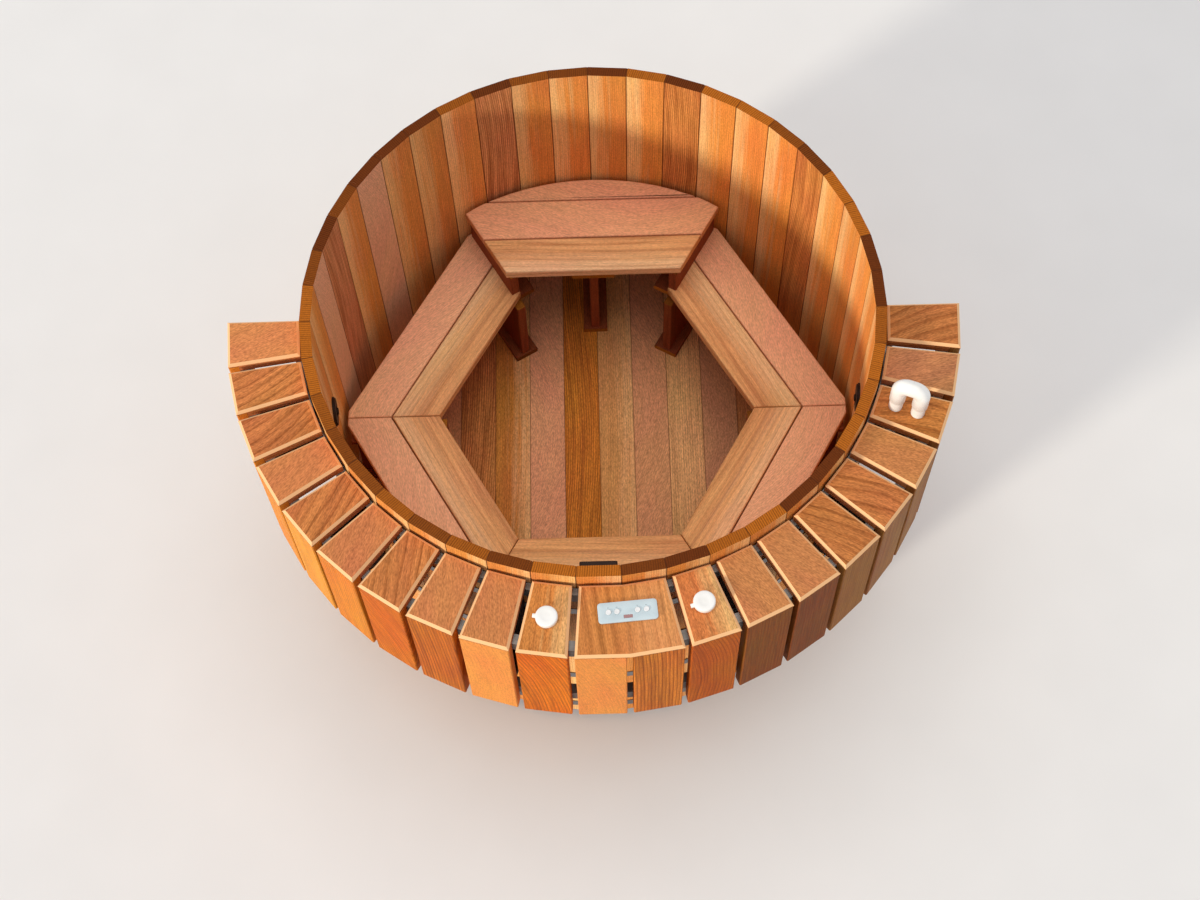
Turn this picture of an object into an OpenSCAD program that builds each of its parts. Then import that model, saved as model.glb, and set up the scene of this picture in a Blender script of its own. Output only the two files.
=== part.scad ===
// Round wooden hot tub. Coopered wall of bead-and-cove staves held by steel hoops, a plank floor
// seated in a croze groove, joists under it, two levels of benches on I-shaped legs, and a half
// ring of cap boards and side boards round the front with the controls in it.
// Millimetres. The origin is on the tub's axis, on the ground; +Z is up and the controls face -Y.

/* [Staves] */
// Radius of the wall at the outer corners, where two staves meet
tub_r = 915; // [890:1:940]
// Number of staves round the wall
stave_count = 43; // [42:1:44]
// Thickness of a stave
stave_t = 35; // [33:0.5:38]
// Length of a stave
stave_len = 1219; // [1180:1:1260]
// Height of the staves' lower ends above the ground
stave_foot = 32; // [15:1:50]
// Radius of the bead along one edge of a stave
bead_r = 15; // [12:0.5:15.5]
// How far the bead's centre lies inside the joint
bead_sink = 1.5; // [0.5:0.5:4]
// Chamfer along a stave's long edges, which makes the V grooves
seam_ease = 2; // [0.5:0.5:2.5]
// Clearance between a bead and its cove, and between joint faces
wall_fit = 0.1; // [0.05:0.05:0.3]

/* [Floor and joists] */
// Thickness of the floor planks
floor_t = 38; // [32:1:45]
// Cover width of a floor plank
floor_plank_w = 127; // [115:1:140]
// Place of the floor's middle seam, from the axis
floor_seam_x = 5; // [-10:1:10]
// Depth of the croze groove at the middle of a stave
croze_depth = 12; // [9:0.5:16]
// Clearance of the floor in the croze groove
croze_fit = 0.3; // [0.1:0.1:0.6]
// Height of the joists, on which the whole tub stands
joist_h = 89; // [75:1:120]
// Width of a joist
joist_w = 89; // [60:1:100]
// Distance between joists
joist_pitch = 300; // [260:5:310]
// Clearance between the joists' ends and the wall
joist_gap = 6; // [4:1:20]

/* [Hoops] */
// Width of a hoop band
hoop_w = 38; // [25:1:45]
// Thickness of a hoop band
hoop_t = 1.5; // [1:0.5:3]
// Number of hoops
hoop_count = 4; // [3:1:4]
// Height of the lowest hoop's middle
hoop_low_z = 108; // [80:1:125]
// Distance between hoops
hoop_pitch = 290; // [285:1:295]
// Diameter of the tension bolts
hoop_bolt_d = 12; // [8:1:14]

/* [Benches] */
// Height of the low bench's top above the floor
low_seat_h = 401; // [380:1:430]
// Height of the raised rear bench's top above the floor
high_seat_h = 548; // [520:1:580]
// Thickness of the bench planks
bench_t = 38; // [30:1:45]
// Width of the low bench's planks
bench_plank_w = 141; // [125:1:146]
// Gap between two bench planks
bench_seam = 5; // [3:0.5:8]
// How far the low bench's outer edges reach past the hexagon that its corners' round holds
low_reach = 13.2; // [5:0.1:20]
// Clearance between the benches' corners and the wall
bench_wall_gap = 17; // [12:1:25]
// Depth of the raised bench at its middle
high_depth = 380.5; // [370:0.5:390]
// Overhang of the raised bench past its end panels' middle
high_overhang = 24.5; // [20:0.5:40]
// Rounding of the benches' edges
bench_ease = 6; // [3:0.5:10]
// Thickness of a leg's web and of the end panels
web_t = 32; // [28:1:38]
// How far the low legs' webs stand back from the bench's front edge
web_setback = 51.5; // [45:0.5:85]
// Width of a foot plate
foot_w = 88; // [70:1:100]
// Thickness of a foot plate and of a cap cleat
foot_t = 22; // [18:1:28]
// Width of a cap cleat
cap_w = 150; // [120:1:160]

/* [Skirt] */
// Drop from the rim to the top of the cap boards
skirt_drop = 43; // [35:1:60]
// How far the skirt's outer corners stand out from the wall's corners
skirt_reach = 233; // [226:1:255]
// Number of side boards round the half ring
skirt_count = 21; // [20:1:23]
// Thickness of the cap boards
cap_board_t = 38; // [34:1:45]
// Thickness of the side boards
side_board_t = 32; // [25:1:35]
// Height of the side boards' lower ends above the ground
side_foot = 692; // [660:1:700]
// Gap between neighbouring boards
board_gap = 20; // [12:1:24]
// Clearance between the cap boards and the wall's corners
cap_wall_gap = 5; // [4:0.5:10]
// Chamfer of the cap boards' top edges
cap_ease = 8; // [4:0.5:9]
// Thickness of the lip that laps over the side boards
cap_lip = 11; // [10.5:0.5:16]
// Width of the rolled rails
rail_w = 31; // [25:1:32]
// Height of the rolled rails
rail_h = 50; // [35:1:60]
// Wall thickness of the rolled rails
rail_wall = 3; // [2:0.5:4]

/* [Control panel] */
// Width of the panel's face plate
panel_w = 174; // [168:1:180]
// Depth of the panel's face plate
panel_d = 63; // [60:1:70]
// Thickness of the face plate
panel_t = 5; // [4:0.5:7]
// Shift of the panel to the right of its board's middle
panel_shift = 6; // [0:1:10]
// Diameter of a push button
button_d = 16; // [13:0.5:17]
// Travel of a push button
button_travel = 1.5; // [1:0.1:2]
// Width of the display window
display_w = 26; // [22:0.5:32]
// Depth of the display window
display_d = 10; // [8:0.5:11]

/* [Air valves] */
// Diameter of the air valves' knobs
knob_d = 66; // [60:1:70]
// Height of a knob
knob_h = 17; // [14:0.5:22]
// Reach of a knob's pointer from its middle
pointer_reach = 42; // [38:0.5:46]
// Clearance between a valve's nut and the outer rail
valve_gap = 15; // [8:0.5:24]
// Diameter of the valve's neck in the cap board
neck_d = 44; // [40:0.5:46]
// Diameter of the valve's spindle
spindle_d = 10; // [8:0.5:12]

/* [Air loop] */
// Outer diameter of the loop's fittings
loop_od = 49; // [47:0.5:52]
// Outer diameter of the riser pipes
riser_od = 42.2; // [38:0.1:43]
// Bore of the riser pipes
riser_bore = 35; // [30:0.5:36]
// Distance between the loop's two legs
loop_span = 70; // [68:0.5:76]
// Length of the risers that shows between the cap board and the elbows
riser_show = 48; // [40:1:56]
// Height of the loop's centre line above the elbows' lower ends
loop_rise = 82; // [70:1:95]
// Clearance between the outer riser and the outer rail
riser_gap = 7; // [4:0.1:12]
// Length of the risers below the cap board's underside
riser_drop = 250; // [150:1:300]

/* [Water fittings] */
// Height of the jets above the floor
jet_h = 633; // [628:1:638]
// Number of staves between the front stave and each jet's stave
jet_step = 10; // [9:1:10]
// Diameter of a jet's face
jet_face_d = 100; // [90:1:104]
// Diameter of a jet's barrel in the wall
jet_barrel_d = 60; // [56:1:64]
// Diameter of a jet's ball nozzle
ball_d = 42; // [38:0.5:44]
// Outer diameter of the plastic pipes at the wall and floor
pipe_od = 48.3; // [46:0.1:50]
// Bore of the plastic pipes at the wall and floor
pipe_bore = 40.9; // [38:0.1:42]
// Width of the skim cover inside the front stave
skim_w = 112; // [100:1:116]
// Height of the skim cover
skim_h = 195; // [180:1:200]
// How far the skim cover stands out from the wall
skim_out = 18; // [14:0.5:24]
// Distance from the wall to the drain's middle
drain_set = 155.5; // [145:0.5:162]

/* [Hidden] */
$fn = 64;
// wall
stave_pitch = 360 / stave_count;
stave_half = stave_pitch / 2;
wall_out = tub_r * cos(stave_half);
wall_in = wall_out - stave_t;
rim_z = stave_foot + stave_len;
bead_mid = (wall_out + wall_in) / 2;
bead_at = [bead_mid * tan(stave_half) - bead_sink / cos(stave_half), bead_mid];
// floor
floor_z = joist_h;
floor_top = floor_z + floor_t;
floor_r = wall_in + croze_depth;
floor_n = round(2 * floor_r / floor_plank_w);
floor_left = floor_seam_x - floor(floor_n / 2) * floor_plank_w;
floor_fit = 0.15;
tongue_l = 8;
tongue_t = 12;
drain_i = floor(floor_n / 2);
drain_x = floor_seam_x + floor_plank_w / 2;
joist_n = 5;
// hoops
hoop_fit = 0.15;
hoop_r = tub_r + hoop_fit;
hoop_out = hoop_r + hoop_t;
lug_gap = 44;
lug_w = 28;
lug_d = 30;
lug_offset_angle = 14;
lug_root = 2;
lug_fit = 0.05;
bolt_tail = 26;
bolt_fit = 0.5;
// benches
low_top = floor_top + low_seat_h;
high_top = floor_top + high_seat_h;
low_z = low_top - bench_t;
high_z = high_top - bench_t;
bench_r = wall_in - bench_wall_gap;
low_back = bench_r * cos(30) + low_reach;
low_outer = low_back - bench_plank_w;
low_seam = low_outer - bench_seam;
well_flat = low_seam - bench_plank_w;
high_front = bench_r - high_depth;
mitre = 1;
past_web = -web_t / 2;
round_steps = 3;
high_front_w = 135;
high_middle_w = 153;
high_mid = high_front + high_front_w;
high_rear = high_mid + bench_seam + high_middle_w;
leg_angles = [0, 60, 120, 180, 240, 300];
end_panel_angles = [60, 120];
web_front = well_flat + web_setback;
foot_lead = 8;
foot_front = web_front - foot_lead;
leg_setback = 10;
leg_back = bench_r - leg_setback;
foot_back = leg_back + foot_lead;
cap_setback = 37;
cap_front = web_front + cap_setback;
high_web_setback = 72;
high_web_front = high_front + high_web_setback;
high_cap_setback = 3;
high_cap_front = high_front + high_cap_setback;
end_panel_setback = 84.5;
end_panel_front = well_flat + end_panel_setback;
lumber_ease = 2.5;
joist_ease = 4;
// skirt
cap_top = rim_z - skirt_drop;
cap_z = cap_top - cap_board_t;
panel_pitch = 180 / skirt_count;
panel_half = panel_pitch / 2;
cap_in = tub_r + cap_wall_gap;
skirt_r = tub_r + skirt_reach;
cap_out = skirt_r * cos(panel_half);
side_in = cap_out - side_board_t;
lap_fit = 0.5;
reveal = 1.5;
side_top = cap_top - cap_lip - reveal;
side_ease = 3;
double_k = floor(skirt_count / 2);
double_angle = -180 + (double_k + 1) * panel_pitch;
pipe_k = skirt_count - 3;
rail_joint_ks = [4, 8, double_k + 3, skirt_count - 5];
frame_ks = concat([1], rail_joint_ks, [skirt_count - 2]);
rail_fit = 0.3;
outer_rail_r = side_in - rail_fit;
inner_rail_w = 22;
inner_rail_r = hoop_out + 1.5 + inner_rail_w;
rail_space = [inner_rail_r, outer_rail_r - rail_w];
rail_end_angle = 0.8;
rail_joint_angle = 0.04;
rail_z = cap_z - rail_h;
low_bearer_t = 38;
low_bearer_rise = 12;
low_bearer_z = side_foot + low_bearer_rise;
low_rail_z = low_bearer_z + low_bearer_t;
stud_w = 89;
stud_t = 38;
cleat_in = hoop_out + 0.3;
cleat_out = cleat_in + stud_t;
bearer_end = side_in - 0.5;
washer_d = 24;
washer_t = 2.5;
coach_d = 10;
coach_head = 17;
coach_head_t = 6.5;
coach_inset = 40;
// control panel
panel_r = (rail_space[0] + rail_space[1]) / 2;
panel_corner = 10;
gasket_t = 1.5;
gasket_inset = 1.5;
housing_wall = 2.5;
plate_lap = [12, 6];
housing_w = panel_w - 2 * plate_lap[0];
housing_d = panel_d - 2 * plate_lap[1];
housing_h = 42;
housing_fit = 0.5;
face_z = cap_top + gasket_t;
button_fit = 0.35;
button_rise = 1.8;
button_round = 0.8;
button_flange = 1.5;
button_flange_t = 2;
button_seat = 0.3;
pocket_d = button_d + 2 * button_flange + 2 * button_fit;
button_xs = [-56, -31, 29, 55];
button_y = 1;
display_y = -16;
display_fit = 0.2;
display_sink = 0.4;
circuit_t = 1.6;
circuit_fit = 0.3;
circuit_drop = 16;
circuit_z = face_z - circuit_drop;
standoff_d = 6;
standoff_inset = 5;
dome_d = 7;
dome_top = face_z - button_travel - button_seat;
gland_d = 14;
gland_bore = 7;
gland_h = 12;
gland_x = housing_w / 4;
// air valves
flange_d = 60;
flange_t = 4;
nut_t = 10;
nut_d = 62;
valve_r = rail_space[1] - valve_gap - nut_d / 2 / cos(22.5);
valve_h = 78;
nipple_od = 33.4;
nipple_bore = 26.6;
nipple_h = 40;
neck_fit = 0.5;
knob_gap = 0.4;
spindle_fit = 0.05;
spindle_h = 22;
spindle_tip_gap = 8;
valve_cavity_h = 30;
knob_foot = 1.5;
pointer_w = 12;
// loop
bend_r = loop_od / 2 + 2.5;
socket_fit = 0.1;
socket_depth = 32;
elbow_z = cap_top + riser_show;
elbow_meet = 0.05;
riser_stop = 0.3;
riser_fit = 0.4;
riser_z = cap_z - riser_drop;
loop_r = rail_space[1] - riser_gap - riser_od / 2 - loop_span / 2;
// water fittings
jet_z = floor_top + jet_h;
jet_face_t = 10;
jet_face_step = 4;
jet_nut_d = 84;
jet_nut_t = 14;
jet_tail = 66;
jet_end = wall_out + jet_tail;
jet_pipe_inset = 4;
jet_pipe_y = jet_end - pipe_od / 2 - jet_pipe_inset;
jet_drop = 62;
jet_cavity = 20;
jet_back = wall_out + jet_cavity;
jet_fit = 0.3;
jet_lip_r = 18;
ball_fit = 0.4;
ball_set = 8;
ball_y = wall_in + ball_set;
jet_lip = 12;
jet_lip_y = ball_y - jet_lip;
ball_rear_angle = 48;
nozzle_r = 12;
nozzle_bore = 8;
nozzle_lead = 24;
nozzle_ease = 1;
ball_steps = 14;
skim_below_rim = 12;
skim_top = rim_z - skim_below_rim;
skim_corner = 8;
skim_wall = 3;
skim_back = 4;
skim_back_land = 4;
skim_back_corner = 6;
skim_fit = 0.2;
skim_slot = 6;
skim_slots = 7;
skim_slot_h = 54;
skim_slot_pitch = 13;
skim_slot_drop = 18;
skim_pipe_below = 164;
skim_pipe_z = skim_top - skim_pipe_below;
skim_tail = 62;
skim_end = wall_out + skim_tail;
skim_pipe_y = skim_end - pipe_od / 2;
skim_nut_t = 12;
skim_nut_land = 9;
skim_nut_w = pipe_od + 2 * skim_nut_land;
skim_drop = 90;
drain_y = drain_set - wall_in;
drain_flange_d = 92;
drain_flange_t = 5;
drain_nut_t = 11;
drain_nut_land = 11;
drain_nut_w = pipe_od + 2 * drain_nut_land;
drain_stub = 60;
grate_t = 3;
grate_fit = 0.5;
grate_z = floor_top + drain_flange_t - grate_t;
grate_land = 6.5;
grate_d = drain_flange_d - 2 * grate_land;
grate_slots = 5;
grate_slot = [6, 44];
grate_pitch = 11;

STAVE_BROWN = "#b8713a";
FLOOR_BROWN = "#a8703f";
BENCH_TAN = "#d09a72";
LEG_RED = "#8a4526";
BOARD_ORANGE = "#c9834f";
SIDE_ORANGE = "#d98d54";
PVC_WHITE = "#f4f3ee";
STEEL_GREY = "#b9bcc0";
ALU_GREY = "#9a9c9e";
PANEL_BLUE = "#c9d3da";
DARK = "#2c2726";

// ---- helpers -------------------------------------------------------------------------------

// Local +Y points outwards at the given angle and local +X clockwise
module facing(angle) {
    rotate([0, 0, angle - 90]) children();
}

module at_stave(k) {
    facing(-90 + k * stave_pitch) children();
}

function board_angle(k) = -180 + (k + 0.5) * panel_pitch;

module at_board(k) {
    facing(board_angle(k)) children();
}

// Local +X points counter-clockwise and local -Y outwards
module reading(angle) {
    rotate([0, 0, angle + 90]) children();
}

function turned(p, a) = [p[0] * cos(a) - p[1] * sin(a), p[0] * sin(a) + p[1] * cos(a)];

function unit(v) = v / norm(v);

// Inward normal of the edge a-b of a counter-clockwise outline
function inward(a, b) = let (d = unit(b - a)) [-d[1], d[0]];

// A counter-clockwise outline moved inwards by d
function inset(pts, d) = [
    for (i = [0:len(pts) - 1])
        let (
            n = len(pts),
            a = inward(pts[(i + n - 1) % n], pts[i]),
            b = inward(pts[i], pts[(i + 1) % n])
        )
        pts[i] + (a + b) * d / (1 + a * b)
];

function lifted(pts, z) = [for (p = pts) [p[0], p[1], z]];

// A board on a counter-clockwise outline, rounded in steps along its top and bottom edges
module eased_board(outline, t, top_ease, bottom_ease = 0, steps = 1) {
    low = [
        for (i = [0:1:bottom_ease > 0 ? steps : -1])
            let (a = 90 * i / steps)
            lifted(inset(outline, bottom_ease * (1 - sin(a))), bottom_ease * (1 - cos(a)))
    ];
    high = [
        for (i = [0:steps])
            let (a = 90 * i / steps)
            lifted(inset(outline, top_ease * (1 - cos(a))), t - top_ease * (1 - sin(a)))
    ];
    rings = concat(bottom_ease > 0 ? low : [lifted(outline, 0)], high);
    n = len(outline);
    last = len(rings) - 1;
    polyhedron(
        points = [for (r = rings) each r],
        faces = concat(
            [[for (i = [0:n - 1]) i]],
            [for (s = [0:last - 1]) for (i = [0:n - 1])
                [s * n + i, (s + 1) * n + i, (s + 1) * n + (i + 1) % n, s * n + (i + 1) % n]],
            [[for (i = [n - 1:-1:0]) last * n + i]]
        )
    );
}

// Rectangle with cut corners
module eased_rect(w, h, e = lumber_ease) {
    polygon([
        [-w / 2 + e, 0], [w / 2 - e, 0], [w / 2, e], [w / 2, h - e],
        [w / 2 - e, h], [-w / 2 + e, h], [-w / 2, h - e], [-w / 2, e]
    ]);
}

// Sawn timber lying along +Y, centred on X
module rail_timber(w, y0, y1, z0, h) {
    translate([0, y1, z0]) rotate([90, 0, 0]) linear_extrude(y1 - y0) eased_rect(w, h);
}

// Sawn timber standing up, centred on X
module post_timber(w, y0, depth, z0, z1) {
    translate([0, y0, z0]) linear_extrude(z1 - z0) eased_rect(w, depth);
}

module rounded_rect(w, d, r) {
    for (x = [-1, 1]) for (y = [-1, 1]) translate([x * (w / 2 - r), y * (d / 2 - r)]) circle(r = r);
    square([w - 2 * r, d], center = true);
    square([w, d - 2 * r], center = true);
}

module rounded_plate(w, d, r, h) {
    linear_extrude(h) rounded_rect(w, d, r);
}

// Cylinder along local +Y from y0 to y1
module bar(r, y0, y1) {
    translate([0, y0, 0]) rotate([-90, 0, 0]) cylinder(r = r, h = y1 - y0);
}

// Hexagonal nut or head along local +Y
module hexagon(across, y0, y1) {
    translate([0, y0, 0]) rotate([-90, 0, 0]) cylinder(d = across / cos(30), h = y1 - y0, $fn = 6);
}

// ---- wall ----------------------------------------------------------------------------------

function joint_x(y, gap) = y * tan(stave_half) - gap / cos(stave_half);

function stave_side() = [
    [joint_x(wall_in, wall_fit / 2) - seam_ease, wall_in],
    [joint_x(wall_in + seam_ease, wall_fit / 2), wall_in + seam_ease],
    [joint_x(wall_out - seam_ease, wall_fit / 2), wall_out - seam_ease],
    [joint_x(wall_out, wall_fit / 2) - seam_ease, wall_out]
];

// Plan of one stave: the bead stands out on its clockwise edge and fits the neighbour's cove
module stave_plan() {
    side = stave_side();
    difference() {
        union() {
            polygon(concat(side, [for (i = [3:-1:0]) [-side[i][0], side[i][1]]]));
            translate(bead_at) circle(r = bead_r);
        }
        rotate(stave_pitch) translate(bead_at) circle(r = bead_r + wall_fit);
    }
}

module stave() {
    difference() {
        translate([0, 0, stave_foot]) linear_extrude(stave_len) stave_plan();
        translate([0, 0, floor_z - croze_fit])
            cylinder(r = floor_r + croze_fit, h = floor_t + 2 * croze_fit);
    }
}

module staves() {
    color(STAVE_BROWN)
        for (k = [1:stave_count - 1])
            if (k != jet_step && k != stave_count - jet_step) at_stave(k) stave();
}

module jet_staves() {
    color(STAVE_BROWN)
        for (s = [-1, 1]) at_stave(s * jet_step) difference() {
            stave();
            translate([0, 0, jet_z]) bar(jet_barrel_d / 2 + jet_fit, wall_in - stave_t, wall_out + stave_t);
        }
}

module skim_stave() {
    color(STAVE_BROWN)
        at_stave(0) difference() {
            stave();
            translate([0, 0, skim_pipe_z]) bar(pipe_od / 2 + jet_fit, wall_in - stave_t, wall_out + stave_t);
        }
}

// ---- floor ---------------------------------------------------------------------------------

// Cross-section of a floor plank with its groove on the left and its tongue on the right
module floor_plank_section(x0, x1, grooved, tongued) {
    mid = floor_t / 2;
    difference() {
        union() {
            translate([x0, 0]) square([x1 - x0 - floor_fit, floor_t]);
            if (tongued) translate([x1 - 1, mid - tongue_t / 2]) square([tongue_l + 1 - floor_fit, tongue_t]);
        }
        if (grooved)
            translate([x0 - 1, mid - tongue_t / 2 - floor_fit])
                square([tongue_l + 1, tongue_t + 2 * floor_fit]);
    }
}

module floor_plank(i) {
    x0 = i == 0 ? -floor_r - 1 : floor_left + i * floor_plank_w;
    x1 = i == floor_n - 1 ? floor_r + 1 : floor_left + (i + 1) * floor_plank_w;
    intersection() {
        translate([0, floor_r + 1, floor_z]) rotate([90, 0, 0]) linear_extrude(2 * floor_r + 2)
            floor_plank_section(x0, x1, i > 0, i < floor_n - 1);
        translate([0, 0, floor_z - 1]) cylinder(r = floor_r, h = floor_t + 2);
    }
}

module floor_planks() {
    color(FLOOR_BROWN) for (i = [0:floor_n - 1]) if (i != drain_i) floor_plank(i);
}

module drain_plank() {
    color(FLOOR_BROWN) difference() {
        floor_plank(drain_i);
        translate([drain_x, drain_y, floor_z - 1]) cylinder(d = pipe_od + 2 * jet_fit, h = floor_t + 2);
    }
}

module joists() {
    color(FLOOR_BROWN)
        for (j = [0:joist_n - 1]) {
            y = (j - (joist_n - 1) / 2) * joist_pitch;
            half = sqrt(pow(wall_in - joist_gap, 2) - pow(abs(y) + joist_w / 2, 2));
            translate([half, y, 0]) rotate([90, 0, -90]) linear_extrude(2 * half)
                eased_rect(joist_w, joist_h, joist_ease);
        }
}

// ---- hoops ---------------------------------------------------------------------------------

function hoop_z(i) = hoop_low_z + i * hoop_pitch;

function lug_angle(i) = 90 + (i % 2 == 0 ? lug_offset_angle : -lug_offset_angle);

module at_lugs(i) {
    facing(lug_angle(i)) translate([0, 0, hoop_z(i)]) children();
}

module hoop_bands() {
    color(STEEL_GREY)
        for (i = [0:hoop_count - 1]) at_lugs(i) difference() {
            translate([0, 0, -hoop_w / 2]) difference() {
                cylinder(r = hoop_out, h = hoop_w, $fn = 180);
                translate([0, 0, -1]) cylinder(r = hoop_r, h = hoop_w + 2, $fn = 180);
            }
            translate([-lug_gap / 2, 0, -hoop_w]) cube([lug_gap, tub_r + lug_d, 2 * hoop_w]);
        }
}

module hoop_lugs() {
    color(STEEL_GREY)
        for (i = [0:hoop_count - 1]) at_lugs(i) for (s = [-1, 1]) difference() {
            translate([s * (lug_gap + lug_w) / 2, hoop_out - lug_root, 0]) rotate([-90, 0, 0])
                linear_extrude(lug_d + lug_root) square([lug_w, hoop_w], center = true);
            cylinder(r = hoop_out + lug_fit, h = hoop_w + 2, center = true, $fn = 180);
            translate([0, hoop_out + lug_d / 2, 0]) rotate([0, 90, 0])
                cylinder(d = hoop_bolt_d + 2 * bolt_fit, h = 2 * (lug_gap + 2 * lug_w), center = true);
        }
}

module hoop_bolts() {
    reach = lug_gap / 2 + lug_w;
    head = 0.65 * hoop_bolt_d;
    color(STEEL_GREY)
        for (i = [0:hoop_count - 1]) at_lugs(i)
            translate([0, hoop_out + lug_d / 2, 0]) rotate([0, 0, -90]) {
                bar(hoop_bolt_d / 2, -reach - head, reach + bolt_tail);
                hexagon(1.5 * hoop_bolt_d, -reach - head, -reach);
                hexagon(1.5 * hoop_bolt_d, reach, reach + 0.8 * hoop_bolt_d);
            }
}

// ---- benches -------------------------------------------------------------------------------

function mitre_x(y, gap) = y * tan(30) - gap / cos(30);

// Where a mitre line meets the round that keeps the benches off the wall
function mitre_end(gap) =
    let (t = tan(30), c = gap / cos(30), q = 1 + t * t)
    let (y = (t * c + sqrt(t * t * c * c - q * (c * c - bench_r * bench_r))) / q)
    [mitre_x(y, gap), y];

// Outer end of a plank at one mitre, with its corner cut off short of the wall
function plank_end(gap) =
    let (x = sqrt(bench_r * bench_r - low_back * low_back))
    mitre_x(low_back, gap) > x ? [mitre_end(gap), [x, low_back]] : [[mitre_x(low_back, gap), low_back]];

function mirrored(pts) = [for (i = [len(pts) - 1:-1:0]) [-pts[i][0], pts[i][1]]];

module low_inner_plank(angle, right, left) {
    color(BENCH_TAN) facing(angle) translate([0, 0, low_z])
        eased_board([
            [-mitre_x(well_flat, left), well_flat], [mitre_x(well_flat, right), well_flat],
            [mitre_x(low_seam, right), low_seam], [-mitre_x(low_seam, left), low_seam]
        ], bench_t, bench_ease, bench_ease / 2, round_steps);
}

module low_outer_plank(angle, right, left) {
    color(BENCH_TAN) facing(angle) translate([0, 0, low_z])
        eased_board(concat(
            [[-mitre_x(low_outer, left), low_outer], [mitre_x(low_outer, right), low_outer]],
            plank_end(right), mirrored(plank_end(left))
        ), bench_t, bench_ease, bench_ease / 2, round_steps);
}

module low_inner_planks() {
    for (a = [210, 270, 330]) low_inner_plank(a, mitre, mitre);
}

module low_outer_planks() {
    for (a = [210, 270, 330]) low_outer_plank(a, mitre, mitre);
}

module rear_inner_plank_left() low_inner_plank(150, past_web, mitre);

module rear_outer_plank_left() low_outer_plank(150, past_web, mitre);

module rear_inner_plank_right() low_inner_plank(30, mitre, past_web);

module rear_outer_plank_right() low_outer_plank(30, mitre, past_web);

// Half width of the raised bench at depth y, between its splayed ends and inside the round
function high_half(y) =
    min((high_overhang + y * sin(30)) / cos(30), sqrt(max(0, bench_r * bench_r - y * y)));

// Outline of the raised bench between two depths
function high_outline(y0, y1) =
    let (
        arc = [for (a = [32:-4:4]) bench_r * cos(a)],
        ys = concat([y0], [for (y = arc) if (y > y0 + 4 && y < y1 - 2) y], [y1]),
        side = [for (y = ys) [high_half(y), y]]
    )
    concat(side, [for (i = [len(side) - 1:-1:0]) if (side[i][0] > 1) [-side[i][0], side[i][1]]]);

module high_plank(y0, y1) {
    color(BENCH_TAN) translate([0, 0, high_z])
        eased_board(high_outline(y0, y1), bench_t, bench_ease, bench_ease / 2, round_steps);
}

module high_front_plank() high_plank(high_front, high_mid);

module high_middle_plank() high_plank(high_mid + bench_seam, high_rear);

module high_back_plank() high_plank(high_rear + bench_seam, bench_r);

// The low bench's legs stand under its mitres, and a taller one under the raised bench's middle
module leg_webs() {
    color(LEG_RED) {
        for (a = leg_angles) facing(a)
            post_timber(web_t, web_front, leg_back - web_front, floor_top + foot_t, low_z - foot_t);
        post_timber(web_t, high_web_front, leg_back - high_web_front, floor_top + foot_t, high_z - foot_t);
    }
}

module leg_feet() {
    color(LEG_RED) {
        for (a = leg_angles) facing(a) rail_timber(foot_w, foot_front, foot_back, floor_top, foot_t);
        rail_timber(foot_w, high_web_front - foot_lead, foot_back, floor_top, foot_t);
    }
}

module leg_cleats() {
    color(LEG_RED) {
        for (a = leg_angles) facing(a) rail_timber(cap_w, cap_front, leg_back, low_z - foot_t, foot_t);
        rail_timber(cap_w, high_cap_front, leg_back, high_z - foot_t, foot_t);
    }
}

module high_end_panels() {
    color(LEG_RED) for (a = end_panel_angles) facing(a)
        post_timber(web_t, end_panel_front, leg_back - end_panel_front, low_top, high_z);
}

// ---- skirt ---------------------------------------------------------------------------------

function gap_x(y, gap) = y * tan(panel_half) - gap / cos(panel_half);

function start_gap(k) = k == 0 ? 0 : board_gap / 2;

function end_gap(k) = k == skirt_count - 1 ? 0 : board_gap / 2;

function board_outline(k) = [
    [-gap_x(cap_in, end_gap(k)), cap_in], [gap_x(cap_in, start_gap(k)), cap_in],
    [gap_x(cap_out, start_gap(k)), cap_out], [-gap_x(cap_out, end_gap(k)), cap_out]
];

// Rebate under a cap board's outer end, in which the side board stands
module side_rebate() {
    translate([-cap_out, side_in - lap_fit, cap_z - 1])
        cube([2 * cap_out, cap_out, cap_top - cap_lip - cap_z + 1]);
}

module cap_board(k) {
    at_board(k) difference() {
        translate([0, 0, cap_z]) eased_board(board_outline(k), cap_board_t, cap_ease);
        side_rebate();
    }
}

module cap_boards() {
    plain = [for (k = [0:skirt_count - 1]) if (k < double_k - 1 || k > double_k + 2) if (k != pipe_k) k];
    color(BOARD_ORANGE) for (k = plain) cap_board(k);
}

// The double board spans two pitches and has a bend at its middle
function double_side(s) = [
    turned([s * gap_x(cap_in, board_gap / 2), cap_in], -s * panel_half),
    turned([s * gap_x(cap_out, board_gap / 2), cap_out], -s * panel_half)
];

module control_board() {
    right = double_side(1);
    left = double_side(-1);
    outline = [left[0], [0, cap_in / cos(panel_half)], right[0], right[1], [0, skirt_r], left[1]];
    color(BOARD_ORANGE) difference() {
        facing(double_angle) translate([0, 0, cap_z]) eased_board(outline, cap_board_t, cap_ease);
        facing(double_angle) for (s = [-1, 1]) rotate([0, 0, s * panel_half]) side_rebate();
        at_panel() translate([0, 0, cap_z - 1]) linear_extrude(cap_board_t + 2)
            square([housing_w + 2 * housing_fit, housing_d + 2 * housing_fit], center = true);
    }
}

module valve_board(k) {
    color(BOARD_ORANGE) difference() {
        cap_board(k);
        at_board(k) translate([0, valve_r, cap_z - 1])
            cylinder(d = neck_d + 2 * neck_fit, h = cap_board_t + 2);
    }
}

module valve_board_left() valve_board(double_k - 1);

module valve_board_right() valve_board(double_k + 2);

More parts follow.
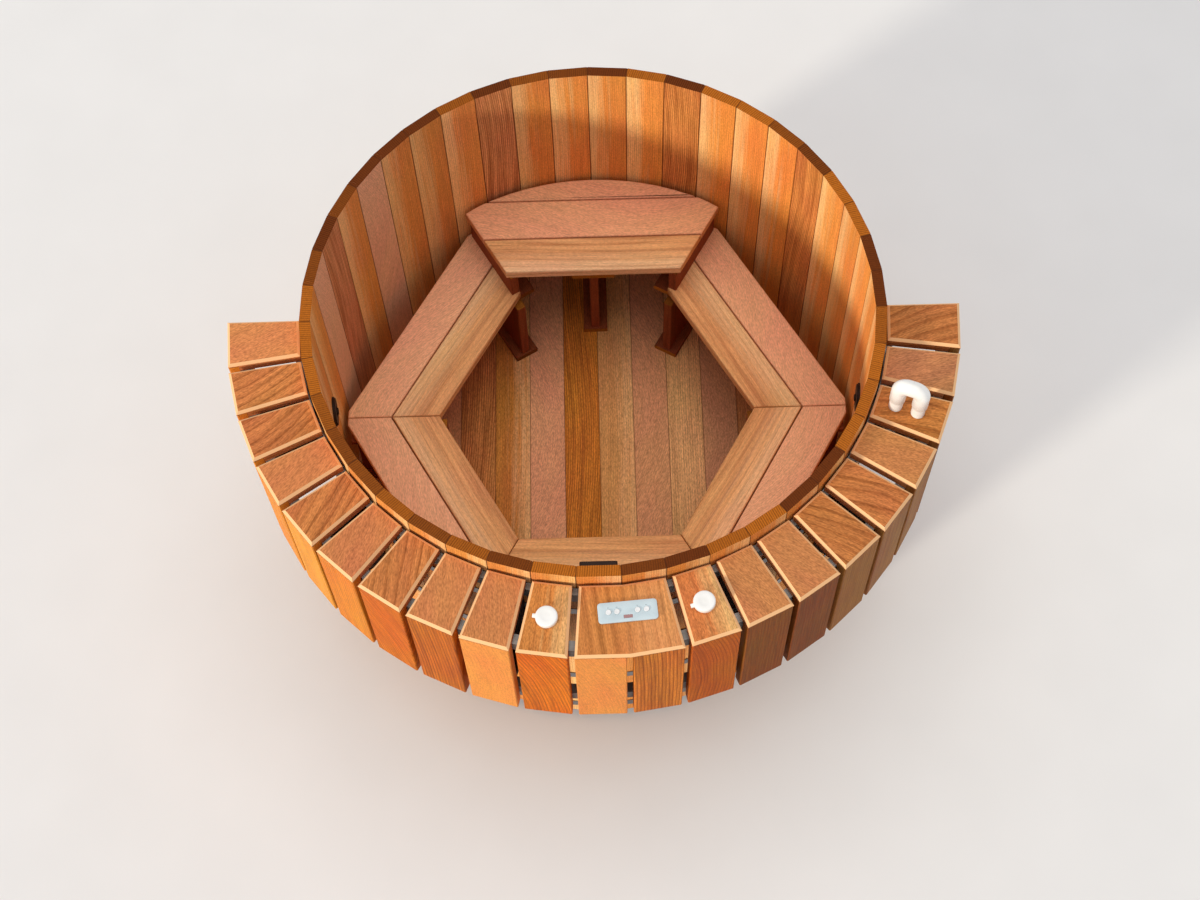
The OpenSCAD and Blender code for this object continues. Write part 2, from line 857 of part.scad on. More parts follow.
module pipe_board() {
    color(BOARD_ORANGE) difference() {
        cap_board(pipe_k);
        at_board(pipe_k) for (s = [-1, 1])
            translate([0, loop_r + s * loop_span / 2, cap_z - 1])
                cylinder(d = riser_od + 2 * riser_fit, h = cap_board_t + 2);
    }
}

module side_board(k) {
    e = side_ease;
    a = start_gap(k);
    b = end_gap(k);
    at_board(k) translate([0, 0, side_foot]) linear_extrude(side_top - side_foot) polygon([
        [-gap_x(side_in, b), side_in], [gap_x(side_in, a), side_in],
        [gap_x(cap_out - e, a), cap_out - e], [gap_x(cap_out, a) - e, cap_out],
        [-gap_x(cap_out, b) + e, cap_out], [-gap_x(cap_out - e, b), cap_out - e]
    ]);
}

module side_boards() {
    color(SIDE_ORANGE) for (k = [0:skirt_count - 1]) side_board(k);
}

// Rectangular tube rolled to an arc between two angles
module rail_length(a, b, r_out, w, z) {
    rotate([0, 0, a]) rotate_extrude(angle = b - a, $fn = 180) translate([r_out - w, z]) difference() {
        square([w, rail_h]);
        translate([rail_wall, rail_wall]) square([w - 2 * rail_wall, rail_h - 2 * rail_wall]);
    }
}

// A half ring of rolled lengths that meet over the inner frames
module rolled_rail(r_out, w, z) {
    joints = [for (k = rail_joint_ks) board_angle(k)];
    starts = concat([-180 + rail_end_angle], [for (a = joints) a + rail_joint_angle]);
    ends = concat([for (a = joints) a - rail_joint_angle], [-rail_end_angle]);
    color(ALU_GREY) for (i = [0:len(starts) - 1]) rail_length(starts[i], ends[i], r_out, w, z);
}

module inner_rail() rolled_rail(inner_rail_r, inner_rail_w, rail_z);

module outer_rail() rolled_rail(outer_rail_r, rail_w, rail_z);

module lower_rail() rolled_rail(outer_rail_r, rail_w, low_rail_z);

module frame_cleats() {
    color(LEG_RED) for (k = frame_ks) at_board(k)
        post_timber(stud_w, cleat_in, stud_t, low_bearer_z, rail_z);
}

module frame_bearers() {
    color(LEG_RED) for (k = frame_ks) at_board(k) {
        rail_timber(stud_t, cleat_out, bearer_end, rail_z - stud_w, stud_w);
        rail_timber(stud_w, cleat_out, bearer_end, low_bearer_z, low_bearer_t);
    }
}

module frame_posts() {
    color(LEG_RED) for (k = frame_ks) at_board(k)
        post_timber(stud_t, bearer_end - stud_w, stud_w, low_rail_z + rail_h, rail_z - stud_w);
}

// Coach screws that hold the cleats to the staves
module coach_screws() {
    color(STEEL_GREY) for (k = frame_ks) at_board(k)
        for (z = [low_rail_z + rail_h + coach_inset, rail_z - stud_w - coach_inset]) translate([0, 0, z]) {
            bar(coach_d / 2, cleat_out, cleat_out + washer_t + coach_head_t);
            bar(washer_d / 2, cleat_out, cleat_out + washer_t);
            hexagon(coach_head, cleat_out + washer_t, cleat_out + washer_t + coach_head_t);
        }
}

// ---- control panel -------------------------------------------------------------------------

module at_panel() {
    reading(double_angle) translate([panel_shift, -panel_r, 0]) children();
}

module panel_plate() {
    color(PANEL_BLUE) at_panel() difference() {
        translate([0, 0, face_z]) rounded_plate(panel_w, panel_d, panel_corner, panel_t);
        for (x = button_xs) translate([x, button_y, face_z - 1])
            cylinder(d = button_d + 2 * button_fit, h = panel_t + 2);
        for (x = button_xs) translate([x, button_y, face_z - 1])
            cylinder(d = pocket_d, h = button_flange_t + button_seat + 1);
        translate([0, display_y, face_z + panel_t / 2])
            cube([display_w + 2 * display_fit, display_d + 2 * display_fit, panel_t + 2], center = true);
    }
}

module panel_gasket() {
    color(DARK) at_panel() translate([0, 0, cap_top]) linear_extrude(gasket_t) difference() {
        rounded_rect(panel_w - 2 * gasket_inset, panel_d - 2 * gasket_inset, panel_corner - gasket_inset);
        square([housing_w + 1, housing_d + 1], center = true);
    }
}

module panel_housing() {
    color(DARK) at_panel() {
        difference() {
            translate([-housing_w / 2, -housing_d / 2, face_z - housing_h])
                cube([housing_w, housing_d, housing_h]);
            translate([-housing_w / 2 + housing_wall, -housing_d / 2 + housing_wall,
                       face_z - housing_h + housing_wall])
                cube([housing_w - 2 * housing_wall, housing_d - 2 * housing_wall, housing_h]);
            translate([gland_x, 0, face_z - housing_h - 1]) cylinder(d = gland_bore, h = housing_wall + 2);
        }
        translate([gland_x, 0, face_z - housing_h - gland_h]) difference() {
            cylinder(d = gland_d, h = gland_h);
            translate([0, 0, -1]) cylinder(d = gland_bore, h = gland_h + 2);
        }
    }
}

module panel_circuit() {
    w = housing_w - 2 * housing_wall - 2 * circuit_fit;
    d = housing_d - 2 * housing_wall - 2 * circuit_fit;
    base = face_z - housing_h + housing_wall;
    color("#2f6b4a") at_panel() {
        translate([-w / 2, -d / 2, circuit_z]) cube([w, d, circuit_t]);
        for (x = button_xs) translate([x, button_y, circuit_z])
            cylinder(d = dome_d, h = dome_top - circuit_z);
        for (x = [-1, 1]) for (y = [-1, 1])
            translate([x * (w / 2 - standoff_inset), y * (d / 2 - standoff_inset), base])
                cylinder(d = standoff_d, h = circuit_z - base);
    }
}

module panel_display() {
    color("#7a2a2c") at_panel() translate([-display_w / 2, display_y - display_d / 2, circuit_z + circuit_t])
        cube([display_w, display_d, face_z + panel_t - circuit_z - circuit_t - display_sink]);
}

// A cap that stands out of the plate; its flange is caught in the plate's pocket
module button(i) {
    r = button_d / 2;
    top = panel_t + button_rise;
    color(PVC_WHITE) at_panel() translate([button_xs[i], button_y, face_z]) rotate_extrude() polygon([
        [0, 0], [r + button_flange, 0], [r + button_flange, button_flange_t], [r, button_flange_t],
        [r, top - button_round], [r - button_round, top], [0, top]
    ]);
}

module button_1() button(0);

module button_2() button(1);

module button_3() button(2);

module button_4() button(3);

// ---- air valves ----------------------------------------------------------------------------

// Flanged body through the cap board, with a nut under it, a spindle bore above and a hose nipple below
module valve_body(k) {
    neck_z = cap_z - valve_h;
    hole_z = cap_top + flange_t - spindle_h - spindle_tip_gap;
    color(PVC_WHITE) at_board(k) translate([0, valve_r, 0]) difference() {
        union() {
            translate([0, 0, cap_top]) cylinder(d = flange_d, h = flange_t);
            translate([0, 0, neck_z]) cylinder(d = neck_d, h = cap_top - neck_z + 1);
            translate([0, 0, cap_z - nut_t]) cylinder(d = nut_d / cos(22.5), h = nut_t, $fn = 8);
            translate([0, 0, neck_z - nipple_h]) cylinder(d = nipple_od, h = nipple_h + 1);
        }
        translate([0, 0, neck_z - nipple_h - 1]) cylinder(d = nipple_bore, h = nipple_h + valve_cavity_h);
        translate([0, 0, hole_z])
            cylinder(d = spindle_d + 2 * spindle_fit, h = cap_top + flange_t + 1 - hole_z);
    }
}

module valve_body_left() valve_body(double_k - 1);

module valve_body_right() valve_body(double_k + 2);

// Domed knob with a pointer that reaches past its rim
module valve_knob(k) {
    base = cap_top + flange_t + knob_gap;
    r = knob_d / 2;
    color(PVC_WHITE) at_board(k) translate([0, valve_r, base]) {
        rotate_extrude($fn = 96) polygon([
            [0, 0], [r - knob_foot, 0], [r, knob_foot], [r, knob_h * 0.45], [r * 0.94, knob_h * 0.72],
            [r * 0.79, knob_h * 0.9], [r * 0.55, knob_h * 0.98], [0, knob_h]
        ]);
        translate([0, -pointer_w / 2, 0]) cube([pointer_reach, pointer_w, knob_h * 0.55]);
        translate([0, 0, -spindle_h]) cylinder(d = spindle_d, h = spindle_h + 1);
    }
}

module valve_knob_left() valve_knob(double_k - 1);

module valve_knob_right() valve_knob(double_k + 2);

// ---- air loop ------------------------------------------------------------------------------

module ring(r_out, r_in) {
    difference() {
        circle(r = r_out);
        circle(r = r_in);
    }
}

// One elbow: a socket over the riser's upper end, a tight bend and half the bridge
module loop_elbow() {
    r = loop_od / 2;
    bore = riser_bore / 2;
    bend_z = loop_rise - bend_r;
    linear_extrude(socket_depth) ring(r, riser_od / 2 + socket_fit);
    translate([0, 0, socket_depth]) linear_extrude(bend_z - socket_depth) ring(r, bore);
    translate([0, bend_r, bend_z]) rotate([90, 0, -90]) rotate_extrude(angle = 90)
        translate([bend_r, 0]) ring(r, bore);
    translate([0, bend_r, loop_rise]) rotate([-90, 0, 0])
        linear_extrude(loop_span / 2 - bend_r - elbow_meet) ring(r, bore);
}

module loop_elbows() {
    color(PVC_WHITE) at_board(pipe_k) translate([0, loop_r, elbow_z]) for (s = [0, 1])
        mirror([0, s, 0]) translate([0, -loop_span / 2, 0]) loop_elbow();
}

module loop_risers() {
    color(PVC_WHITE) at_board(pipe_k) for (s = [-1, 1])
        translate([0, loop_r + s * loop_span / 2, riser_z]) difference() {
            cylinder(d = riser_od, h = elbow_z + socket_depth - riser_stop - riser_z);
            translate([0, 0, -1]) cylinder(d = riser_bore, h = elbow_z + socket_depth + 2 - riser_z);
        }
}

// ---- jets ----------------------------------------------------------------------------------

// Stepped face inside, barrel and nut through the wall, and a pipe stub that turns down outside
module jet_bodies() {
    step_y = wall_in - jet_face_t + jet_face_step;
    color(DARK) for (s = [-1, 1]) at_stave(s * jet_step) translate([0, 0, jet_z]) difference() {
        union() {
            bar(jet_barrel_d / 2, wall_in - 1, jet_end);
            bar(jet_face_d / 2, step_y, wall_in);
            bar(jet_face_d / 2 - jet_face_step, wall_in - jet_face_t, step_y + 1);
            hexagon(jet_nut_d, wall_out, wall_out + jet_nut_t);
            translate([0, jet_pipe_y, -jet_drop]) cylinder(d = pipe_od, h = jet_drop);
        }
        bar(jet_lip_r, wall_in - jet_face_t - 1, jet_lip_y + 1);
        bar(ball_d / 2 + ball_fit, jet_lip_y, jet_back);
        bar(nozzle_r + 3, jet_back - 1, jet_pipe_y);
        translate([0, jet_pipe_y, -jet_drop - 1]) cylinder(d = pipe_bore, h = jet_drop + 1);
    }
}

// A ball with a short spout that swivels in the jet's body
module jet_nozzle(s) {
    r = ball_d / 2;
    e = nozzle_ease;
    front = asin(nozzle_r / r);
    sweep = 180 - ball_rear_angle - front;
    arc = [for (i = [0:ball_steps]) let (a = front + sweep * i / ball_steps) r * [sin(a), cos(a)]];
    spout = [
        [nozzle_bore, arc[ball_steps][1]], [nozzle_bore, nozzle_lead - e], [nozzle_bore + e, nozzle_lead],
        [nozzle_r - e, nozzle_lead], [nozzle_r, nozzle_lead - e]
    ];
    color("#3a3634") at_stave(s * jet_step) translate([0, ball_y, jet_z]) rotate([90, 0, 0])
        rotate_extrude() polygon(concat(spout, arc));
}

module jet_nozzle_left() jet_nozzle(-1);

module jet_nozzle_right() jet_nozzle(1);

// ---- skim fitting and drain ----------------------------------------------------------------

// Back plate inside the front stave, with a pipe through the wall that turns down behind it
module skim_fitting() {
    color(DARK) at_stave(0) difference() {
        union() {
            translate([0, wall_in, skim_top - skim_h / 2]) rotate([90, 0, 0])
                rounded_plate(skim_w - 2 * skim_back_land, skim_h - 2 * skim_back_land,
                              skim_back_corner, skim_back);
            translate([0, 0, skim_pipe_z]) {
                bar(pipe_od / 2, wall_in - skim_back, skim_end);
                hexagon(skim_nut_w, wall_out, wall_out + skim_nut_t);
                translate([0, skim_pipe_y, -skim_drop]) cylinder(d = pipe_od, h = skim_drop);
            }
        }
        translate([0, 0, skim_pipe_z]) {
            bar(pipe_bore / 2, wall_in - skim_back - 1, skim_pipe_y);
            translate([0, skim_pipe_y, -skim_drop - 1]) cylinder(d = pipe_bore, h = skim_drop + 1);
        }
    }
}

// Hollow cover with slots near its top that lets the surface water in
module skim_cover() {
    in_w = skim_w - 2 * skim_wall;
    in_h = skim_h - 2 * skim_wall;
    slot_y = skim_h / 2 - skim_slot_drop - skim_slot_h / 2;
    color(DARK) at_stave(0) translate([0, wall_in - skim_fit, skim_top - skim_h / 2]) rotate([90, 0, 0])
        difference() {
            rounded_plate(skim_w, skim_h, skim_corner, skim_out);
            translate([0, 0, -1])
                rounded_plate(in_w, in_h, skim_corner - skim_wall, skim_out - skim_wall + 1);
            for (i = [0:skim_slots - 1])
                translate([(i - (skim_slots - 1) / 2) * skim_slot_pitch, slot_y, skim_out - skim_wall - 1])
                    linear_extrude(skim_wall + 2) square([skim_slot, skim_slot_h], center = true);
        }
}

// Flange on the floor, nut and pipe stub under it
module drain_fitting() {
    color(DARK) translate([drain_x, drain_y, 0]) difference() {
        union() {
            translate([0, 0, floor_top]) cylinder(d = drain_flange_d, h = drain_flange_t);
            translate([0, 0, floor_z - drain_stub]) cylinder(d = pipe_od, h = drain_stub + floor_t + 1);
            translate([0, 0, floor_z - drain_nut_t])
                cylinder(d = drain_nut_w / cos(30), h = drain_nut_t, $fn = 6);
        }
        translate([0, 0, floor_z - drain_stub - 1])
            cylinder(d = pipe_bore, h = drain_stub + floor_t + drain_flange_t + 2);
        translate([0, 0, grate_z]) cylinder(d = grate_d + 2 * grate_fit, h = grate_t + 1);
    }
}

module drain_grate() {
    color(STEEL_GREY) translate([drain_x, drain_y, grate_z]) difference() {
        cylinder(d = grate_d, h = grate_t);
        for (i = [0:grate_slots - 1])
            translate([(i - (grate_slots - 1) / 2) * grate_pitch, 0, -1]) linear_extrude(grate_t + 2)
                square(grate_slot, center = true);
    }
}

// ---- output --------------------------------------------------------------------------------

staves();
jet_staves();
skim_stave();
floor_planks();
drain_plank();
joists();
hoop_bands();
hoop_lugs();
hoop_bolts();
low_inner_planks();
low_outer_planks();
rear_inner_plank_left();
rear_outer_plank_left();
rear_inner_plank_right();
rear_outer_plank_right();
high_front_plank();
high_middle_plank();
high_back_plank();
leg_webs();
leg_feet();
leg_cleats();
high_end_panels();
cap_boards();
control_board();
valve_board_left();
valve_board_right();
pipe_board();
side_boards();
inner_rail();
outer_rail();
lower_rail();
frame_cleats();
frame_bearers();
frame_posts();
coach_screws();
panel_plate();
panel_gasket();
panel_housing();
panel_circuit();
panel_display();
button_1();
button_2();
button_3();
button_4();
valve_body_left();
valve_body_right();
valve_knob_left();
valve_knob_right();
loop_elbows();
loop_risers();
jet_bodies();
jet_nozzle_left();
jet_nozzle_right();
skim_fitting();
skim_cover();
drain_fitting();
drain_grate();
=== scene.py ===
"""A round wooden hot tub: camera, studio, finishes and the fine fittings over its solids.

Lengths are in metres in the tub's own frame: the origin on its axis, on the ground, +Z up,
the controls towards -Y.
"""

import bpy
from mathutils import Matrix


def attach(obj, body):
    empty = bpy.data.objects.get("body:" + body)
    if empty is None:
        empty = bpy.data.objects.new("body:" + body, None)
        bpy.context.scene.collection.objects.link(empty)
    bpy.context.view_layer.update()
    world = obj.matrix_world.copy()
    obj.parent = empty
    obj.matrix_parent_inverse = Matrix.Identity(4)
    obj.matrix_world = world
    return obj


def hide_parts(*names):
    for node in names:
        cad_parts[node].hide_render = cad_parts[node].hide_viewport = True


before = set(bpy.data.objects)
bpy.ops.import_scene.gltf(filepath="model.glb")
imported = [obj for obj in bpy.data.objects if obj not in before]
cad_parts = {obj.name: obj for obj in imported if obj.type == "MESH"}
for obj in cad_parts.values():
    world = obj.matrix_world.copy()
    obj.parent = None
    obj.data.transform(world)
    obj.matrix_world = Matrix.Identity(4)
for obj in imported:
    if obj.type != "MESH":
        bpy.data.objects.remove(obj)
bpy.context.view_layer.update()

import logging
import math
from collections.abc import Iterable, Sequence
from dataclasses import dataclass
from enum import Enum

import bmesh
import bpy
from mathutils import Matrix, Vector

LOG = logging.getLogger("hot_tub")
MM = 0.001
Colour = tuple[float, float, float, float]
Socket = bpy.types.NodeSocket
Shape = bmesh.types.BMesh
Edge = bmesh.types.BMEdge
Corner = bmesh.types.BMVert


# ---- sizes shared by several pieces ----

STAVE_COUNT = 43
STAVE_PITCH = math.tau / STAVE_COUNT
BOARD_COUNT = 21
BOARD_PITCH = math.pi / BOARD_COUNT
BOARD_START = -math.pi
CAP_TOP = 1.208
PLANK_COVER = 0.127
FLOOR_LEFT = -0.884


def linear(code: str) -> Colour:
    """Turns an sRGB hex colour into the linear values that sockets take.

    Args:
        code: Colour as #rrggbb.

    Returns:
        Linear red, green and blue, and 1.
    """
    parts = [int(code[i : i + 2], 16) / 255 for i in (1, 3, 5)]
    red, green, blue = (c / 12.92 if c <= 0.04045 else ((c + 0.055) / 1.055) ** 2.4 for c in parts)
    return red, green, blue, 1.0


# ---- finishes ----


class Sheet:
    """The node tree of a material or of the surround, with the one helper that adds to it.

    A MapRange takes its value, the two ends that it comes from and the two that it goes to.
    """

    def __init__(self, owner: bpy.types.Material | bpy.types.World) -> None:
        """Starts an empty tree on its owner."""
        self.owner = owner
        owner.use_nodes = True
        self.tree = owner.node_tree
        self.tree.nodes.clear()

    def add(
        self,
        kind: str,
        feeds: dict | Sequence = (),
        out: int | str | None = 0,
        stops: Iterable[tuple[float, Colour]] = (),
        **settings: object,
    ) -> Socket | bpy.types.Node:
        """Adds a node, sets it up and links what feeds it.

        Args:
            kind: Type of the node, without its ShaderNode prefix. A node that has an
                operation takes it after a space.
            feeds: Values or sockets for its inputs, in order or by name. None is passed over.
            out: Output to return, or None for the node itself.
            stops: Places and colours of a colour ramp.
            settings: Properties of the node.

        Returns:
            The chosen output, or the node.
        """
        kind, _, operation = kind.partition(" ")
        node = self.tree.nodes.new("ShaderNode" + kind)
        if operation:
            node.operation = operation
        for key, value in settings.items():
            setattr(node, key, value)
        for i, (place, colour) in enumerate(stops):
            elements = node.color_ramp.elements
            element = elements[i] if i < len(elements) else elements.new(place)
            element.position, element.color = place, colour
        pairs = feeds.items() if isinstance(feeds, dict) else enumerate(feeds)
        for key, value in pairs:
            if isinstance(value, Socket):
                self.tree.links.new(value, node.inputs[key])
            elif value is not None:
                node.inputs[key].default_value = value
        return node if out is None else node.outputs[out]

    def finish(self, **values: object) -> bpy.types.Material:
        """Ends the tree in a Principled BSDF.

        Args:
            values: Values or sockets for its inputs, with _ for each space.

        Returns:
            The material.
        """
        feeds = {key.replace("_", " "): value for key, value in values.items()}
        shader = self.add("BsdfPrincipled", feeds)
        self.add("OutputMaterial", {"Surface": shader}, None)
        return self.owner


class Grain(Enum):
    """Which local axes run along the grain, across the board and through it."""

    STANDING = "ztr"
    EDGE = "zrt"
    SPOKE = "rtz"
    ROUND = "trz"


class Cut(Enum):
    """How a board was sawn: slant of the figure, strength of its lines and of its pale sapwood."""

    PLAIN = (0.8, 0.12, 0.0)
    CATHEDRAL = (1.0, 0.75, 0.0)
    STRAIGHT = (0.0, 0.45, 0.0)
    STRIPED = (0.15, 1.0, 0.0)
    BANDED = (0.1, 0.4, 0.7)
    SAPPED = (0.05, 0.35, 1.0)


@dataclass(frozen=True)
class Board:
    """One board's own colour and cut."""

    tint: str
    cut: Cut


@dataclass(frozen=True)
class Ring:
    """Boards side by side round the tub's axis; middle is the radius at their middle."""

    start: float
    pitch: float
    count: int
    middle: float


@dataclass(frozen=True)
class Rows:
    """Boards side by side in straight rows; turn is the way that they run."""

    left: float
    pitch: float
    count: int
    turn: float = 0.0


@dataclass(frozen=True)
class Cedar:
    """Planed and oiled red cedar.

    Growth rings give the stripes, slanted or straight by the board's cut; streaks and a pale
    band of sapwood give the long soft bands, short fibres the speckle, and end grain its own
    golden or dark brown.
    """

    name: str
    lay: Ring | Rows
    grain: Grain
    boards: tuple[Board, ...]
    late: str = "#8a4420"
    sap: str = "#e9b877"
    ring: float = 5.0
    seed: float = 0.0
    chamfer: str | None = None
    ends: tuple[str, str] = ("#7c4516", "#b87428")
    bend: float = 4.5
    seam: float = 0.0
    jitter: float = 0.12
    speckle: float = 1.0
    streak: float = 0.55
    roughness: float = 0.5
    gloss: float = 0.04
    # widths in mm. Fibres are about 0.1 mm wide: hair lines and speckle are drawn coarser,
    # or nothing of them would show from where the tub is seen.
    drift_width: float = 143.0
    streak_width: float = 16.7
    hair_width: float = 2.4
    speckle_width: float = 3.4

    def make(self) -> bpy.types.Material:
        """Builds the finish.

        Returns:
            The material.
        """
        return Wood(self).made()


# steepest figure of a slanted board, across per along: 27 degrees
SLOPE = 0.5
# in mm: how far the pith lies beside and below a board, and a ring strays from its circle
PITH_BESIDE = (480.0, 640.0)
PITH_BELOW = (35.0, 85.0)
STRAY = 12.0
# place in a year's ring, and how much late wood there is at it
YEAR = ((0.0, 0.08), (0.5, 0.0), (0.76, 0.6), (0.86, 1.0), (0.94, 0.95), (1.0, 0.08))
# part of the normal along the grain at which end grain starts and is full
END_FACE = (0.8, 0.95)
# part of the normal upwards over which a chamfer starts, and over which a flat top takes over
CHAMFER_STARTS = (0.55, 0.62)
CHAMFER_STOPS = (0.8, 0.9)
# nearness to a joint at which its dark line starts and is full; the line is partly oil gathered in
# the joint and partly painted shade in its groove
JOINT_LINE = (0.48, 0.495)
END_LINES = "#43200a"
JOINT_DARK = "#4a2410"


class Wood(Sheet):
    """The node tree of a cedar finish; at holds the sockets that one step leaves to the next."""

    def __init__(self, cedar: Cedar) -> None:
        """Starts the tree of a finish."""
        super().__init__(bpy.data.materials.new(cedar.name))
        self.cedar = cedar
        self.at: dict[str, Socket] = {}

    def made(self) -> bpy.types.Material:
        """Takes every step, from the board's place to its relief.

        Returns:
            The material.
        """
        at, cedar = self.at, self.cedar
        self.find_board()
        self.look_up()
        self.draw_chances()
        self.draw_rings()
        speckle = self.noise(cedar.speckle_width, 0.35, 4.0)
        low, high = 1 - 0.3 * cedar.speckle, 1 + 0.26 * cedar.speckle
        at["grainy"] = self.add("MapRange", [speckle, 0.33, 0.67, low, high])
        colour = self.colour_faces(self.colour_wood())

        # relief: late wood stands a little over the early wood, and fibres are felt
        height = self.add("Math MULTIPLY_ADD", [at["band"], 0.8, speckle])
        bump = self.add("Bump", {"Height": height, "Strength": 0.3, "Distance": 0.5 * MM})
        base = self.add("Math MULTIPLY_ADD", [at["sheen"], 0.06, cedar.roughness - 0.13])
        rough = self.add("Math MULTIPLY_ADD", [speckle, 0.2, base])
        return self.finish(
            Base_Color=colour, Roughness=rough, Normal=bump, Specular_IOR_Level=cedar.gloss
        )

    def noise(self, width: float, stretch: float, detail: float) -> Socket:
        """Draws a noise in the board, longest along its figure.

        Args:
            width: Its width in mm.
            stretch: Its width over its length.
            detail: How many finer noises lie over it.

        Returns:
            The noise.
        """
        at = self.at
        run = self.add("Math MULTIPLY", [at["along"], stretch])
        spot = self.add("CombineXYZ", [at["figure"], at["depth"], run])
        feeds = {"Vector": spot, "W": at["shift"], "Scale": 1 / (width * MM), "Detail": detail}
        return self.add("TexNoise", feeds, noise_dimensions="4D")

    def split(self, vector: Socket, angle: Socket | float) -> Sequence[Socket]:
        """Turns a vector about +Z and splits it.

        Args:
            vector: The vector.
            angle: How far it is turned.

        Returns:
            Its three parts.
        """
        feeds = {"Vector": vector, "Angle": angle}
        vector = self.add("VectorRotate", feeds, rotation_type="Z_AXIS")
        return self.add("SeparateXYZ", [vector], None).outputs

    def find_board(self) -> None:
        """Finds the board under a point, the point's place in it and the way that it faces.

        The place lies along the grain, across the board and in its depth. end and up are the
        parts of the normal along the grain and upwards. joint is 0.5 at a joint between boards.
        """
        at, lay = self.at, self.cedar.lay
        coords = self.add("TexCoord", out=None).outputs
        point, normal = coords["Object"], coords["Normal"]
        if isinstance(lay, Ring):
            flat = self.add("SeparateXYZ", [point], None).outputs
            angle = self.add("Math ARCTAN2", [flat[1], flat[0]])
            turns = self.add("Math MULTIPLY_ADD", [angle, 1 / lay.pitch, -lay.start / lay.pitch])
            whole = self.add("Math FLOOR", [turns])
            back = self.add("Math MULTIPLY_ADD", [whole, -lay.pitch, -lay.start - lay.pitch / 2])
            spot, sides = self.split(point, back), self.split(normal, back)
            letters, middle = "rtz", lay.middle
        else:
            spot, sides = self.split(point, lay.turn), self.split(normal, lay.turn)
            turns = self.add("Math MULTIPLY_ADD", [spot[0], 1 / lay.pitch, -lay.left / lay.pitch])
            whole = self.add("Math FLOOR", [turns])
            letters = "trz"
            middle = self.add("Math MULTIPLY_ADD", [whole, lay.pitch, lay.left + lay.pitch / 2])
        offset = self.add("Math SUBTRACT", [spot[0], middle])
        place, facing = dict(zip(letters, [offset, *spot[1:]])), dict(zip(letters, sides))
        at["along"], at["across"], at["depth"] = (place[axis] for axis in self.cedar.grain.value)
        at["end"] = self.add("Math ABSOLUTE", [facing[self.cedar.grain.value[0]]])
        at["up"] = facing["z"]
        at["index"] = self.add("Math FLOORED_MODULO", [whole, float(lay.count)])
        share = self.add("Math FRACT", [turns])
        share = self.add("Math SUBTRACT", [share, 0.5])
        at["joint"] = self.add("Math ABSOLUTE", [share])

    def look_up(self) -> None:
        """Looks up the board's colour, and the slant, lines and sap of its cut."""
        count = self.cedar.lay.count
        share = self.add("Math MULTIPLY_ADD", [self.at["index"], 1 / count, 0.5 / count])
        rows = [(linear(b.tint), (*b.cut.value, 1.0)) for b in self.cedar.boards]
        changes = [i for i in range(len(rows)) if i == 0 or rows[i] != rows[i - 1]]
        found = []
        for part in (0, 1):
            stops = [(i / count, rows[i][part]) for i in changes]
            ramp = self.add("ValToRGB", [share], None, stops)
            ramp.color_ramp.interpolation = "CONSTANT"
            if len(changes) == 1:
                ramp.color_ramp.elements[1].color = rows[0][part]
            found.append(ramp.outputs[0])
        cut = self.add("SeparateColor", [found[1]], None).outputs
        self.at.update(tint=found[0], slant=cut[0], lines=cut[1], sap=cut[2])

    def draw_chances(self) -> None:
        """Draws six chance values for the board, and the shift that its noises start from."""
        at, seed = self.at, self.cedar.seed
        at["key"] = self.add("Math MULTIPLY_ADD", [at["index"], 1.37, seed + 0.5])
        at["shift"] = self.add("Math MULTIPLY_ADD", [at["index"], 3.1, seed])
        chances = []
        for offset in (0.0, 31.7):
            key = self.add("Math ADD", [at["key"], offset])
            colour = self.add("TexWhiteNoise", {"W": key}, 1, noise_dimensions="1D")
            chances += self.add("SeparateColor", [colour], None).outputs[:3]
        at.update(zip(("beside", "below", "start", "brown", "bright", "sheen"), chances))

    def draw_rings(self) -> None:
        """Draws growth rings about a pith that lies beside and below the board."""
        at, cedar = self.at, self.cedar

        # the figure leaves a slanted board's length in a slow curve
        turn = self.add("Math MULTIPLY_ADD", [at["along"], cedar.bend, at["start"]])
        skew = self.add("Math SINE", [turn])
        skew = self.add("Math MULTIPLY", [skew, at["slant"]])
        at["figure"] = self.add("Math MULTIPLY_ADD", [skew, -SLOPE / cedar.bend, at["across"]])
        at["drift"] = self.noise(cedar.drift_width, 0.45, 2.0)

        stray = self.add("MapRange", [at["drift"], 0.0, 1.0, -STRAY, STRAY])
        share = self.add("Math ADD", [at["slant"], 0.4])
        stray = self.add("Math MULTIPLY", [stray, share])
        beside = self.add("MapRange", [at["beside"], 0.0, 1.0, *PITH_BESIDE])
        beside = self.add("Math MULTIPLY_ADD", [at["figure"], 1 / MM, beside])
        below = self.add("MapRange", [at["below"], 0.0, 1.0, *PITH_BELOW])
        below = self.add("Math MULTIPLY_ADD", [at["depth"], 1 / MM, below])
        radius = self.add("CombineXYZ", [beside, below, 0.0])
        radius = self.add("VectorMath LENGTH", [radius], "Value")
        radius = self.add("Math ADD", [radius, stray])
        years = self.add("Math MULTIPLY", [radius, 1 / cedar.ring])
        phase = self.add("Math FRACT", [years])
        stops = [(place, (value,) * 4) for place, value in YEAR]
        band = self.add("ValToRGB", [phase], stops=stops)

        # no two years are equally dark, and end grain shows its rings on every cut
        year = self.add("Math FLOOR", [years])
        year = self.add("Math ADD", [year, at["key"]])
        dark = self.add("TexWhiteNoise", {"W": year}, noise_dimensions="1D")
        dark = self.add("MapRange", [dark, 0.0, 1.0, 0.6, 1.0])
        band = self.add("Math MULTIPLY", [band, dark])
        at["ending"] = self.add("MapRange", [at["end"], *END_FACE])
        ends = self.add("Math MULTIPLY", [at["ending"], 0.7])
        strength = self.add("Math MAXIMUM", [at["lines"], ends])
        at["band"] = self.add("Math MULTIPLY", [band, strength])

